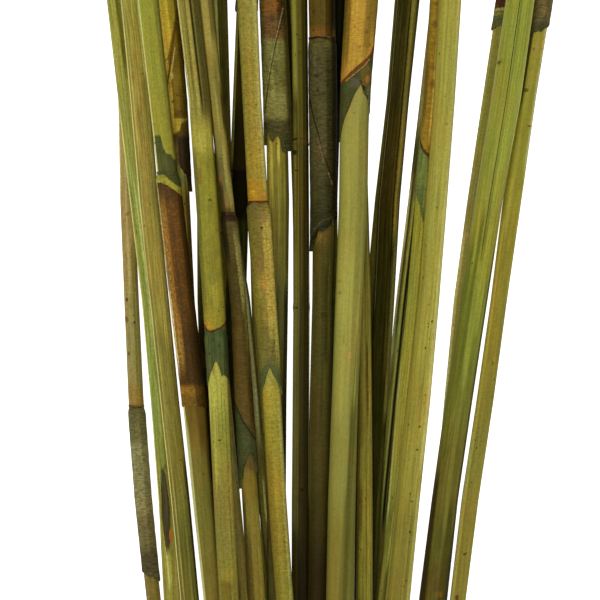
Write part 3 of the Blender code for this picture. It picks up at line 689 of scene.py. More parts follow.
            strip((-0.6, -0.6), 0.05, (94, 88, 34), 0.5, (60, -40), 0.1),
            strip(0.88, 0.2, (60, 52, 24), 0.7, (HEAD, 4)),
            strip(0.83, 0.28, (28, 25, 9), 0.85, (12, FOOT))],
        surface=weave(0.2, 0.12, 0.05, 0.4)),
    "reed_16": look(
        "dark_reed", "back", [band(FOOT, (40, 34, 9), (28, 24, 6), 0.4)],
        strips=[
            strip(0.1, 0.2, (130, 120, 44), 0.6, (HEAD, 112)), strip(-0.85, 0.25, (96, 88, 36), 0.7)]),
    "reed_17": look(
        "olive_reed", "front",
        [band(70, (86, 75, 18), (72, 62, 16), 0.4, soft=10),
         band(40, (76, 67, 11), (64, 55, 12), 0.4, soft=16),
         band(0, (60, 52, 12), (50, 42, 11), 0.4, soft=20),
         band(-60, (57, 48, 13), (46, 38, 11), 0.4, soft=25),
         band(-110, (50, 43, 10), (40, 33, 8), 0.4, soft=25),
         band(FOOT, (36, 28, 6), (28, 22, 5), 0.4)],
        rings=[ring(200), ring(70, strength=0.2, glow=(110, 98, 28)), ring(-160)],
        strips=[
            strip(-0.66, 0.3, (150, 142, 56), 0.85, (HEAD, 85)),
            strip(-0.72, 0.2, (128, 120, 44), 0.7, (90, 20)),
            strip(-0.76, 0.3, (120, 113, 54), 0.85, (34, -112)),
            strip(-0.65, 0.38, (76, 64, 18), 0.75, (-98, FOOT)),
            strip(-0.3, 0.08, (120, 104, 50), 0.5, (HEAD, -20)),
            strip(-0.38, 0.15, (98, 87, 33), 0.8, (54, -112)),
            strip(0.05, 0.14, (86, 74, 18), 0.5, (HEAD, 0)), strip(0.45, 0.18, (40, 34, 6), 0.75),
            strip(0.92, 0.34, (34, 26, 8), 0.85, (HEAD, 30)),
            strip(0.9, 0.26, (34, 28, 10), 0.7, (36, FOOT)),
            strip(0.97, 0.1, (150, 142, 108), 0.85, (26, -96))],
        marks=[
            spot(-1.3, 119, 0.6, 0.5, UMBER), spot(-0.4, 116.8, 0.6, 0.4, UMBER),
            spot(0, 111.2, 0.7, 0.5, UMBER), spot(-2.6, 66.2, 1.1, 1.2, (24, 20, 8)),
            spot(-2.2, 72.2, 1.2, 0.5, (36, 28, 10)), spot(0.4, 72.4, 0.5, 0.4, UMBER),
            spot(1.8, 72.3, 0.8, 0.5, UMBER), spot(1.6, 63.5, 0.5, 0.8, UMBER, 0.7),
            spot(-1.4, 58.2, 1.2, 0.4, UMBER), spot(-1.6, -3.5, 0.9, 0.5, UMBER),
            spot(0.8, -85, 0.7, 0.9, (22, 18, 8), 0.7), spot(0.2, -90, 1.2, 2, (40, 32, 14), 0.5, 0.9)],
        surface=weave(0.12, 0.1, 0.06, 0.5), specks=0.4),
    "reed_18": look(
        "olive_reed", "front",
        [band(122, (86, 73, 23), (72, 59, 18), 0.4, soft=4),
         band(117.4, (118, 86, 32), (96, 64, 24), 0.4, soft=1),
         band(25, (92, 78, 30), (76, 62, 24), 0.4, soft=5),
         band(-45, (78, 70, 24), (66, 58, 20), 0.4, soft=25),
         band(-85, (72, 65, 24), (60, 52, 20), 0.4, soft=25),
         band(-110, (60, 53, 18), (48, 42, 14), 0.4, soft=25),
         band(FOOT, (44, 37, 10), (34, 28, 8), 0.4)],
        sheaths=[
            sheath(
                118, 24, 0.4,
                [band(112, (96, 88, 42), (58, 52, 26), 0.45, soft=4),
                 band(60, (92, 84, 44), (54, 52, 27), 0.5, soft=20),
                 band(42, (78, 72, 36), (44, 42, 20), 0.5, soft=12),
                 band(FOOT, (58, 58, 27), (38, 36, 16), 0.5)],
                end_thick=1.2, notch=6, facing=40, jag=0.8,
                tear=(
                    (-1, 22.5), (-0.85, 24), (-0.62, 28), (-0.45, 30.4), (0, 31.4), (0.3, 32.4),
                    (0.55, 34), (0.75, 36.6), (1, 40)),
                strips=[
                    strip(-0.55, 0.1, (98, 86, 62), 0.5, (116, 96)),
                    strip(0.5, 0.32, (42, 38, 13), 0.75, (116, 22)),
                    # Painted shade: the wide near-black strip down the sheath's right side
                    strip((0.92, 0.9), 0.34, (24, 24, 9), 0.85), strip(-0.97, 0.1, (56, 54, 24), 0.5)],
                marks=[
                    line(
                        ((4.4, 90), (6.4, 80), (8.6, 73), (10.4, 65), (13, 58), (16, 50)), 0.34,
                        (30, 24, 12), 0.85),
                    line(((8, 71.5), (9.4, 66.5), (10.8, 62)), 0.4, (112, 98, 60), 0.6),
                    line(((12.6, 57), (14.6, 51.5)), 0.3, (112, 104, 66), 0.5),
                    line(
                        ((4.8, 25.4), (6.4, 28.6), (8.4, 32), (12.4, 33.4), (15.4, 37.6)), 0.7,
                        (30, 30, 15), 0.85),
                    line(((6, 31.4), (9.4, 35), (14.2, 37)), 0.3, (92, 88, 50), 0.4),
                    line(((4, 117.2), (8, 117.4), (12, 117), (16.4, 116)), 0.5, (46, 24, 12), 0.95),
                    spot(7.4, 100, 0.8, 0.7, (40, 36, 26), 0.8, 0.5),
                    spot(8, 93.8, 0.6, 0.7, (42, 34, 20), 0.8, 0.5),
                    spot(10.8, 92.3, 0.8, 0.6, (42, 34, 20), 0.7, 0.5),
                    spot(6.6, 107, 0.4, 3, (104, 88, 66), 0.4, 0.8),
                    spot(9, 66, 2.4, 8, (88, 76, 48), 0.35, 0.9)],
                surface=GRANULAR)],
        rings=[ring(-178)],
        strips=[
            strip(-0.88, 0.2, (104, 78, 32), 0.5, (HEAD, 118)),
            strip(0.2, 0.1, (106, 88, 26), 0.5, (HEAD, 118)),
            # Painted shade: these two dark strips darken the stem's right half
            strip(0.48, 0.3, (54, 41, 7), 0.85, (HEAD, 104)),
            strip(0.92, 0.34, (26, 20, 6), 0.9, (HEAD, 112)),
            strip(0.97, 0.14, (52, 46, 18), 0.6, (20, FOOT)),
            strip((-0.9, -0.9), 0.12, (96, 88, 40), 0.5, (20, -100)),
            strip((0.1, 0.15), 0.08, (56, 48, 18), 0.6, (24, -60), 0.12),
            strip(0.42, 0.2, (50, 44, 11), 0.75, (22, -34), 0.12),
            strip(0.76, 0.16, (90, 84, 32), 0.7, (26, -30))],
        marks=[
            spot(8.4, 28.4, 1.6, 1.8, (116, 88, 34), 0.6, 0.8),
            spot(10.8, -6.5, 1.5, 1.3, (52, 40, 16), 0.6, 0.8),
            spot(6.2, 129, 0.7, 0.8, (70, 44, 18), 0.7, 0.7),
            spot(6, 121, 0.8, 0.6, (70, 44, 18), 0.6, 0.7)],
        surface=weave(0.1, 0.2, 0.12, 0.6), specks=0.4, lobes=7),
    "reed_19": look(
        "dark_reed", "back",
        [band(40, (28, 28, 8), (18, 18, 6), 0.4, soft=10), band(FOOT, (84, 80, 24), (62, 58, 18), 0.4)],
        strips=[
            strip(-0.6, 0.2, (44, 50, 22), 0.5, (130, 70)),
            strip(0.7, 0.3, (12, 10, 3), 0.8, (HEAD, 80))]),
    "reed_20": look(
        "olive_reed", "middle",
        [band(20, (104, 98, 34), (84, 78, 28), 0.4, soft=20),
         band(-25, (128, 120, 46), (112, 105, 39), 0.4, soft=20),
         band(-70, (118, 110, 40), (104, 96, 35), 0.4, soft=25),
         band(FOOT, (134, 125, 44), (120, 111, 38), 0.4)],
        sheaths=[sheath(-160, -218, 0.5, HIDDEN_END)], rings=[ring(178)],
        strips=[
            strip((0.25, 0.3), 0.07, (88, 78, 26), 0.75, depth=0.3),
            strip(0.4, 0.14, (66, 58, 15), 0.85, (-12, -62)),
            strip(-0.45, 0.25, (82, 75, 23), 0.7, (-78, -112)), strip(0.75, 0.2, (140, 130, 60), 0.6),
            strip(-0.75, 0.25, (58, 44, 12), 0.6), strip(0.97, 0.08, (96, 84, 50), 0.4),
            strip(-0.9, 0.14, (36, 30, 8), 0.9, (-50, FOOT))],
        surface=FIBROUS, lobes=7, rib=0.02),
    "reed_21": look(
        "pale_reed", "front",
        [band(78, (147, 139, 67), (140, 132, 60), 0.3, soft=12),
         band(56, (150, 143, 68), (142, 136, 60), 0.3, soft=20),
         band(20, (144, 138, 62), (138, 132, 56), 0.3, soft=20),
         band(-10, (154, 150, 70), (146, 142, 62), 0.3, soft=20),
         band(-50, (145, 141, 66), (138, 134, 58), 0.3, soft=30),
         band(-95, (135, 127, 58), (128, 120, 50), 0.3, soft=30),
         band(FOOT, (122, 113, 47), (112, 104, 40), 0.35)],
        sheaths=[
            sheath(
                236, 81, 1.9,
                [band(
                     ((-1, 97.6), (-0.5, 101.4), (0.1, 105.4), (0.6, 108.8), (1, 113)), (179, 143, 54),
                     (152, 104, 38), 0.4, jag=0.3, soft=0.6),
                 band(FOOT, (70, 74, 38), (48, 52, 28), 0.4)],
                end_thick=0.3, notch=15, facing=84, jag=0.5,
                tear=(
                    (-1, 71.5), (-0.95, 72.5), (-0.9, 76), (-0.8, 78.5), (-0.6, 83), (-0.2, 90),
                    (0.05, 93.6), (0.26, 96.6), (0.38, 95.4), (0.5, 93.5), (0.72, 91.5), (0.88, 88),
                    (1, 85)),
                strips=[
                    strip((-0.95, -0.98), 0.12, (84, 84, 30), 0.9, (HEAD, 112)),
                    strip(-0.82, 0.24, (104, 82, 25), 0.8, (HEAD, 98)),
                    strip(-0.3, 0.2, (190, 152, 58), 0.4, (HEAD, 108)),
                    strip(0.45, 0.25, (124, 98, 36), 0.8, (HEAD, 102)),
                    strip(0.72, 0.24, (116, 92, 34), 0.75, (HEAD, 112)),
                    strip(0.97, 0.08, (96, 86, 44), 0.6, (HEAD, 90))],
                marks=[
                    spot(29.6, 100.5, 2.6, 5, (98, 84, 40), 0.85, 0.5),
                    spot(24.6, 97, 2.4, 2, (86, 82, 66), 0.6, 0.8),
                    spot(20.6, 95, 1.8, 2.6, (66, 80, 44), 0.6, 0.8),
                    line(
                        ((18.2, 97), (20.6, 99.2), (24.4, 102.4), (29, 106.2), (31.6, 109.6),
                         (33.2, 113.6)),
                        0.5, (112, 54, 22), 0.95),
                    line(
                        ((20.6, 98), (24.6, 101.2), (28.8, 104.8), (31, 107.6)), 0.26, (176, 138, 78),
                        0.6),
                    spot(30.2, 98.8, 0.9, 1.5, (158, 106, 36), 0.7, 0.8),
                    spot(27.2, 97.6, 0.7, 0.9, (62, 50, 38), 0.8, 0.6),
                    spot(28.5, 94.8, 0.6, 1.1, (34, 28, 16), 0.9, 0.5),
                    spot(27.6, 95.6, 0.6, 0.7, (34, 28, 16), 0.8, 0.5),
                    spot(30.9, 92, 1, 4.5, (104, 102, 62), 0.8, 0.6),
                    spot(30.2, 90.6, 0.5, 1.2, (52, 46, 26), 0.8, 0.5),
                    spot(26.6, 113, 0.6, 0.8, (124, 80, 30), 0.6, 0.7),
                    spot(24.6, 122, 0.7, 0.9, (140, 96, 36), 0.5, 0.7),
                    spot(29.8, 120, 0.8, 1, (96, 66, 28), 0.6, 0.7),
                    spot(30.4, 126, 0.7, 0.9, (96, 66, 28), 0.5, 0.7),
                    spot(31.2, 114, 0.6, 0.8, (84, 58, 24), 0.6, 0.7)],
                surface=weave(0.1, 0.16, 0.14, 0.6)),
            sheath(-192, -252, 0.8, HIDDEN_END)],
        strips=[
            strip((0.6, 0.6), 0.16, (128, 120, 58), 0.6, (100, -10)),
            strip((0.88, 0.9), 0.16, (116, 106, 50), 0.65, (100, -40)),
            strip((0.72, 0.3), 0.05, (90, 86, 34), 0.75, (-10, FOOT), 0.3),
            strip((0.94, 0.68), 0.2, (104, 99, 44), 0.7, (-20, FOOT)),
            strip(0.42, 0.18, (124, 117, 54), 0.7, (92, -66)),
            strip((0.66, 0.3), 0.24, (80, 75, 28), 0.8, (-40, FOOT)),
            strip((0.4, 0), 0.2, (94, 88, 33), 0.6, (-80, FOOT)),
            strip((0, -0.1), 0.03, (120, 128, 48), 0.6, (14, -24)),
            strip((-0.35, -0.3), 0.16, (160, 154, 74), 0.4, (60, -60)),
            strip(-0.97, 0.06, (120, 122, 54), 0.6, (70, -60))],
        marks=[
            spot(17.8, 3.2, 0.7, 0.7, (104, 104, 40), 0.7, 0.6),
            spot(17.6, 8.4, 1, 0.6, (116, 118, 46), 0.6, 0.7),
            spot(19.6, -17, 0.3, 2.6, (112, 112, 44), 0.6, 0.6),
            spot(22, -25.2, 1.2, 1.3, (168, 138, 66), 0.55, 0.8),
            spot(22, 25, 0.8, 1.4, (162, 146, 72), 0.4, 0.8)],
        surface=weave(0.06, 0.06, 0.04, 0.4), specks=0.1, rib=0.004),
    "reed_22": look(
        "dark_reed", "middle", [band(FOOT, (92, 86, 32), (68, 62, 22), 0.4)],
        strips=[strip(0.85, 0.14, (132, 126, 84), 0.8, (60, -50))]),
    "reed_23": look(
        "dark_reed", "front",
        [band(100, (58, 50, 17), (46, 40, 12), 0.4, soft=20),
         band(50, (54, 47, 15), (42, 36, 11), 0.4, soft=30),
         band(0, (42, 38, 8), (32, 28, 6), 0.4, soft=30), band(FOOT, (38, 36, 7), (30, 28, 5), 0.4)],
        sheaths=[sheath(-152, -206, 0.7, HIDDEN_END)], rings=[ring(190)],
        strips=[
            # Painted highlight: the thin pale strip at the left edge
            strip((-0.9, -0.85), 0.05, (118, 110, 76), 0.6, (HEAD, -10)),
            strip((0.5, 0.7), 0.24, (110, 100, 42), 0.9, (HEAD, 20), -0.15),
            strip((0.1, 0.3), 0.12, (70, 62, 20), 0.6, (HEAD, 20)),
            strip((0.85, 0.8), 0.18, (84, 76, 36), 0.7, (HEAD, 30)),
            strip(0.8, 0.24, (98, 93, 44), 0.88, (34, -60)),
            strip(0.8, 0.26, (60, 56, 20), 0.85, (-54, FOOT)),
            strip(0.42, 0.16, (66, 60, 20), 0.75, (22, -40)),
            strip((0.25, 0.45), 0.05, (26, 20, 4), 0.85, (HEAD, -20), 0.3),
            strip((-0.35, -0.35), 0.05, (34, 28, 8), 0.6, (HEAD, 0), 0.15)],
        surface=FIBROUS, lobes=7, rib=0.02),
    "reed_24": look(
        "green_reed", "middle",
        [band(76, (132, 122, 70), (112, 102, 52), 0.35, soft=12),
         band(50, (74, 72, 26), (52, 48, 16), 0.35, soft=20),
         band(-5, (112, 110, 48), (90, 88, 34), 0.4, soft=15),
         band(-30, (126, 123, 60), (104, 102, 42), 0.4, soft=15),
         band(-85, (104, 103, 46), (82, 82, 33), 0.4, soft=20),
         band(FOOT, (94, 92, 38), (72, 70, 26), 0.4)],
        strips=[
            # Painted highlight: the pale strip down the left edge
            strip(-0.88, 0.16, (158, 158, 112), 0.85, (60, -50)),
            strip(-0.48, 0.18, (42, 45, 6), 0.88, (60, -22)),
            strip(-0.4, 0.2, (144, 142, 56), 0.85, (-34, -82)),
            strip(0.02, 0.15, (146, 146, 68), 0.75, (60, -106)),
            strip(0.44, 0.22, (16, 14, 2), 0.97, (42, -110)),
            strip(0.82, 0.2, (136, 130, 60), 0.9, (HEAD, -4)),
            strip(0.85, 0.2, (50, 48, 11), 0.88, (-10, FOOT))],
        surface=FIBROUS, lobes=5, rib=0.02),
    "reed_25": look(
        "yellow_reed", "front",
        [band(20, (138, 134, 44), (124, 120, 38), 0.3, soft=16),
         band(-90, (140, 136, 52), (126, 122, 42), 0.35, soft=20),
         band(FOOT, (106, 102, 40), (90, 87, 33), 0.4)],
        sheaths=[
            sheath(
                204, 38.5, 0.4,
                [band(
                     ((-1, 74), (-0.7, 70.5), (-0.3, 68), (0.3, 66.2), (1, 65)), (156, 124, 34),
                     (108, 74, 24), 0.42, jag=0.2, soft=0.6),
                 band(
                     ((-1, 72), (-0.7, 68.6), (-0.3, 66.2), (0.3, 64.4), (1, 63.2)), (76, 52, 28),
                     (58, 40, 22), 0.5, soft=0.8),
                 band(52, (120, 130, 60), (76, 92, 46), 0.45, soft=6),
                 band(FOOT, (98, 106, 54), (66, 78, 42), 0.45)],
                notch=20, facing=180, jag=0.6,
                tear=((-1, 48), (-0.6, 46), (-0.2, 43), (0.2, 39), (0.6, 36.5), (1, 34.5)),
                strips=[
                    strip(-0.95, 0.1, (112, 104, 72), 0.6),
                    strip(-0.75, 0.16, (122, 122, 50), 0.5, (66, 38)),
                    # Painted light: brightens the sheath's right side, which reed_26 shades
                    strip(0.62, 0.45, (226, 190, 86), 0.9, (HEAD, 66)),
                    strip(-0.72, 0.25, (94, 75, 20), 0.7, (116, 74)),
                    strip(-0.4, 0.2, (82, 80, 31), 0.6, (70, 56)),
                    strip(0.65, 0.38, (146, 146, 70), 0.75, (67, 34))],
                marks=[
                    spot(59.6, 97, 1.6, 2, (92, 62, 26), 0.6, 0.9),
                    spot(59.4, 104, 1.4, 1.4, (106, 72, 32), 0.5, 0.9),
                    spot(60.4, 123.5, 1.4, 1.6, (98, 66, 26), 0.6, 0.9),
                    spot(59.8, 115, 1.2, 1, (104, 76, 28), 0.5, 0.9),
                    spot(61, 133, 0.8, 0.7, (88, 58, 24), 0.5, 0.9)],
                surface=DOTTED)],
        surface=weave(0.18, 0.12, 0.05, 0.4), rings=[ring(-182)],
        strips=[
            strip(-0.95, 0.12, (24, 20, 6), 0.9, (45, -24)),
            # Painted highlight: the pale strip at side -0.84 down the left edge
            strip(-0.84, 0.2, (168, 166, 92), 0.85, (-24, -104)),
            # Painted light: these two strips brighten the stem's right side, which reed_26 shades
            strip(0.7, 0.38, (184, 177, 70), 0.85, (42, -96)),
            strip(0.45, 0.34, (182, 174, 72), 0.88, (-66, -126)),
            strip(-0.8, 0.25, (58, 54, 17), 0.75, (-102, FOOT)),
            strip(0.3, 0.15, (150, 143, 58), 0.5, (30, 0)),
            strip(-0.6, 0.1, (120, 118, 40), 0.5, (30, FOOT)),
            strip(-0.1, 0.08, (124, 120, 42), 0.4, (30, FOOT))]),
    "reed_26": look(
        "pale_reed", "front",
        [band(80, (158, 146, 62), (148, 136, 54), 0.35, soft=30),
         band(30, (155, 145, 63), (146, 138, 54), 0.3, soft=25),
         band(-30, (152, 142, 59), (142, 134, 50), 0.35, soft=30),
         band(-90, (139, 132, 53), (130, 122, 46), 0.35, soft=30),
         band(FOOT, (124, 113, 45), (114, 102, 38), 0.4)],
        sheaths=[sheath(-180, -240, 0.7, HIDDEN_END)], rings=[ring(210)],
        strips=[
            strip((-0.18, -0.3), 0.05, (122, 114, 44), 0.5, (HEAD, 60), 0.1),
            strip((-0.62, -0.5), 0.1, (150, 128, 50), 0.35, (HEAD, 70)),
            strip((-0.7, -0.55), 0.1, (134, 128, 46), 0.4, (60, FOOT)),
            strip((0.1, 0.2), 0.05, (138, 126, 50), 0.35, (60, FOOT)),
            strip(0.45, 0.2, (172, 159, 71), 0.55, (HEAD, -98)),
            strip(0.82, 0.24, (194, 182, 106), 0.7, (HEAD, -82)),
            strip(0.84, 0.2, (168, 162, 88), 0.6, (-76, FOOT)),
            strip(-0.82, 0.24, (162, 147, 62), 0.4, (HEAD, 20)),
            strip(-0.95, 0.08, (160, 154, 80), 0.5, (-20, FOOT)),
            strip(0.3, 0.05, (168, 154, 72), 0.3)],
        marks=[
            spot(59.1, -9.7, 0.4, 0.5, UMBER), spot(57.2, -10.4, 0.4, 0.4, UMBER, 0.7),
            spot(57.3, -12, 0.5, 0.4, UMBER, 0.6), spot(56.1, -21.4, 0.4, 0.7, UMBER),
            spot(56.2, -42.6, 0.4, 0.6, (96, 62, 26)), spot(53.5, -56.7, 0.5, 0.5, UMBER),
            spot(52.6, -61.5, 0.3, 0.4, UMBER, 0.7), spot(52.4, -67, 0.6, 0.4, UMBER, 0.8),
            spot(49.4, -86.6, 0.4, 0.5, UMBER), spot(50, -90.2, 0.6, 0.4, UMBER, 0.8),
            spot(49.2, -104, 0.6, 0.5, UMBER), spot(49, -108.3, 0.3, 0.4, UMBER, 0.8),
            spot(47.6, -125.7, 0.6, 0.5, (110, 58, 26)),
            spot(55.6, -46.3, 0.5, 1, (156, 104, 40), 0.6, 0.7),
            spot(65.5, 78.8, 1, 0.4, (112, 104, 50), 0.6, 0.7),
            spot(65, 91, 0.8, 0.4, (112, 104, 50), 0.5, 0.7)],
        surface=weave(0.16, 0.08, 0.05, 0.35), specks=0.35, lobes=11, rib=0.014),
    "reed_27": look(
        "olive_reed", "front",
        [band(60, (126, 118, 50), (108, 99, 42), 0.4, soft=20),
         band(25, (128, 119, 58), (114, 104, 48), 0.4, soft=20),
         band(-45, (134, 126, 60), (120, 110, 50), 0.4, soft=20),
         band(FOOT, (112, 104, 44), (88, 76, 34), 0.4)],
        sheaths=[
            sheath(
                194, 122, 0.7,
                [band(131, (78, 44, 24), (54, 32, 18), 0.45, jag=0.6, soft=0.5),
                 band(129.8, (142, 130, 76), (110, 98, 48), 0.4, jag=0.4, soft=0.4),
                 band(127.6, (104, 100, 42), (84, 82, 34), 0.4, jag=0.5, soft=0.5),
                 band(FOOT, (90, 92, 50), (48, 52, 30), 0.45)],
                notch=3, facing=110, jag=0.7,
                tear=((-1, 121.8), (-0.5, 122.4), (0, 124), (0.4, 125.5), (1, 127)), surface=GRANULAR)],
        rings=[ring(-120)],
        strips=[
            strip(-0.85, 0.15, (150, 138, 72), 0.5, (HEAD, 32)),
            # Painted highlight: the pale strip at side -0.84 down the left edge
            strip(-0.84, 0.2, (174, 166, 104), 0.85, (36, FOOT)), strip(0.85, 0.25, (92, 86, 34), 0.5)],
        marks=[spot(74.6, 28.5, 0.9, 1.4, (160, 132, 84), 0.5, 0.8)]),
    "reed_28": look(
        "green_reed", "front",
        [band(80, (141, 140, 55), (130, 134, 48), 0.3, soft=30),
         band(40, (141, 139, 56), (128, 130, 48), 0.35, soft=30),
         band(10, (136, 132, 48), (122, 124, 42), 0.35, soft=20),
         band(-25, (122, 121, 44), (110, 110, 38), 0.4, soft=25),
         band(-60, (110, 108, 40), (98, 96, 34), 0.4, soft=20),
         band(-95, (102, 98, 38), (88, 84, 32), 0.4, soft=20),
         band(-118, (92, 90, 32), (78, 74, 25), 0.4, soft=10),
         band(FOOT, (94, 86, 32), (80, 68, 25), 0.5)],
        sheaths=[sheath(-196, -258, 0.8, HIDDEN_END)], rings=[ring(218)],
        strips=[
            strip((-0.1, 0.02), 0.035, (48, 48, 10), 0.95, (HEAD, -30), 0.7),
            strip((-0.3, -0.38), 0.15, (88, 92, 24), 0.75, (46, -50)),
            strip((0.05, 0.12), 0.08, (100, 104, 32), 0.5, (HEAD, -30)),
            strip((-0.62, -0.55), 0.1, (150, 148, 60), 0.4, (HEAD, 10)),
            strip((0.28, 0.4), 0.2, (156, 154, 58), 0.5, (HEAD, -20)),
            strip((0, 0.05), 0.2, (150, 150, 56), 0.75, (26, -46)),
            strip((0.68, 0.75), 0.03, (104, 104, 36), 0.6, (HEAD, 95), 0.2),
            strip((-0.55, -0.5), 0.05, (118, 118, 40), 0.4, (HEAD, 40)),
            strip((-0.3, -0.3), 0.05, (124, 124, 42), 0.4, (HEAD, 40)),
            strip((0.5, 0.55), 0.04, (122, 122, 40), 0.4, (HEAD, 0)),
            strip(-0.95, 0.06, (160, 152, 84), 0.5, (HEAD, 20)),
            strip((0.95, 0.96), 0.05, (176, 170, 96), 0.6, (HEAD, 60)),
            strip((-0.8, -0.75), 0.22, (96, 96, 36), 0.65, (34, -64)),
            strip((0.95, 0.9), 0.12, (56, 48, 20), 0.8, (30, FOOT)),
            strip((-0.92, -0.82), 0.22, (46, 36, 16), 0.85, (-70, FOOT)),
            strip(0.84, 0.26, (46, 42, 18), 0.8, (-98, FOOT)),
            strip(0.45, 0.25, (64, 60, 15), 0.8, (-84, FOOT)),
            strip((0, 0.15), 0.18, (118, 116, 46), 0.5, (-30, -110))],
        marks=[
            spot(62.2, -131.5, 1.6, 1.4, (120, 86, 26), 0.55, 0.8),
            spot(66.5, -112, 1.2, 3, (72, 76, 24), 0.5, 0.9),
            spot(89.4, 106.5, 0.75, 0.7, (58, 40, 16), 0.9, 0.4),
            spot(89.4, 106.5, 1.6, 1.5, (112, 104, 34), 0.4, 0.8)],
        surface=weave(0.16, 0.08, 0.04, 0.35), specks=0.12, lobes=6, rib=0.012),
    "reed_29": look(
        "olive_reed", "front",
        [band(95, (146, 134, 50), (140, 124, 56), 0.3, soft=20),
         band(30, (146, 136, 46), (124, 112, 40), 0.4, soft=30),
         band(-35, (140, 130, 46), (120, 108, 40), 0.4, soft=30),
         band(FOOT, (132, 123, 49), (118, 108, 43), 0.4)],
        sheaths=[
            sheath(
                186, 120, 0.7,
                [band(124.5, (106, 94, 54), (70, 60, 36), 0.5, jag=1.2, soft=2),
                 band(FOOT, (82, 76, 44), (56, 50, 30), 0.5)],
                notch=4, facing=60, jag=0.9,
                tear=((-1, 119), (-0.6, 120.4), (-0.2, 120), (0.2, 119.4), (0.5, 121), (1, 123.5)),
                marks=[spot(109.4, 131, 1.2, 4, (126, 100, 50), 0.5, 0.9)], surface=GRANULAR)],
        rings=[ring(-170)],
        strips=[
            # Painted shade: the dark band down the left edge, in the gap beside reed_28
            strip(-0.85, 0.22, (40, 34, 11), 0.85, (HEAD, 80)),
            strip(-0.8, 0.26, (172, 161, 67), 0.8, (44, FOOT)),
            # Painted highlight: the pale strip down the left edge
            strip(-0.93, 0.12, (196, 186, 130), 0.9, (-54, FOOT)),
            strip(-0.4, 0.2, (158, 149, 64), 0.6, (98, 24)),
            strip(0.88, 0.2, (168, 164, 120), 0.75, (HEAD, 52)),
            strip(0.92, 0.1, (132, 127, 80), 0.5, (60, 8)),
            strip(0.7, 0.32, (112, 106, 46), 0.6, (8, -36)),
            strip((0.2, 0.1), 0.06, (130, 118, 42), 0.35)],
        marks=[
            spot(101.4, 94.1, 1.1, 0.9, (84, 68, 24), 0.8, 0.5), spot(102.9, 78, 0.8, 0.4, UMBER),
            spot(104.9, 112.6, 0.5, 0.6, (90, 66, 28), 0.6),
            spot(106.2, 113.5, 1, 2.4, (156, 130, 74), 0.5, 0.8), spot(73.7, -114, 0.5, 0.6, UMBER),
            spot(78.6, -62.8, 0.7, 0.3, (92, 70, 30), 0.8),
            spot(70.4, -133.5, 0.8, 1.4, RED_BROWN, 0.85, 0.6)],
        surface=weave(0.12, 0.1, 0.07, 0.5), specks=0.4),
}


def linear(tone):
    """A 0 to 255 tone as linear red, green, blue and alpha."""
    out = []
    for value in tone:
        share = value / 255.0
        out.append(share / 12.92 if share <= 0.04045 else ((share + 0.055) / 1.055) ** 2.4)
    return (*out, 1.0)


# Shader nodes


class Paint:
    """One material, and short calls that add nodes to it and join them."""

    def __init__(self, name):
        self.material = bpy.data.materials.new(name)
        self.material.use_nodes = True
        self.tree = self.material.node_tree
        self.shader = self.tree.nodes["Principled BSDF"]

    def plug(self, socket, value):
        """Joins the socket to another one, or gives it a plain value."""
        if isinstance(value, bpy.types.NodeSocket):
            self.tree.links.new(value, socket)
        else:
            socket.default_value = value

    def math(self, operation, a, b=0.0, clamp=False):
        node = self.tree.nodes.new("ShaderNodeMath")
        node.operation = operation
        node.use_clamp = clamp
        self.plug(node.inputs[0], a)
        self.plug(node.inputs[1], b)
        return node.outputs[0]

    def vector(self, operation, a, b=(0.0, 0.0, 0.0), output="Vector"):
        node = self.tree.nodes.new("ShaderNodeVectorMath")
        node.operation = operation
        self.plug(node.inputs[0], a)
        self.plug(node.inputs[1], b)
        return node.outputs[output]

    def scaled(self, a, factor):
        node = self.tree.nodes.new("ShaderNodeVectorMath")
        node.operation = "SCALE"
        self.plug(node.inputs[0], a)
        self.plug(node.inputs["Scale"], factor)
        return node.outputs["Vector"]

    def step(self, value, low, high, first=0.0, last=1.0):
        """A smooth step from first at low to last at high."""
        node = self.tree.nodes.new("ShaderNodeMapRange")
        node.interpolation_type = "SMOOTHSTEP"
        self.plug(node.inputs["Value"], value)
        self.plug(node.inputs["From Min"], low)
        self.plug(node.inputs["From Max"], high)
        self.plug(node.inputs["To Min"], first)
        self.plug(node.inputs["To Max"], last)
        return node.outputs["Result"]

    def blend(self, share, a, b, kind="MIX"):
        node = self.tree.nodes.new("ShaderNodeMix")
        node.data_type = "RGBA"
        node.blend_type = kind
        self.plug(node.inputs["Factor"], share)
        self.plug(node.inputs[6], a)
        self.plug(node.inputs[7], b)
        return node.outputs[2]

    def between(self, share, a, b):
        """The value that lies that share of the way from a to b."""
        node = self.tree.nodes.new("ShaderNodeMix")
        node.data_type = "FLOAT"
        self.plug(node.inputs["Factor"], share)
        self.plug(node.inputs[2], a)
        self.plug(node.inputs[3], b)
        return node.outputs[0]

    def attribute(self, name, output="Vector"):
        node = self.tree.nodes.new("ShaderNodeAttribute")
        node.attribute_name = name
        return node.outputs[output]

    def noise(self, where, detail=3.0, rough=0.55, output="Fac"):
        node = self.tree.nodes.new("ShaderNodeTexNoise")
        self.plug(node.inputs["Vector"], where)
        node.inputs["Scale"].default_value = 1.0
        node.inputs["Detail"].default_value = detail
        node.inputs["Roughness"].default_value = rough
        return node.outputs[output]


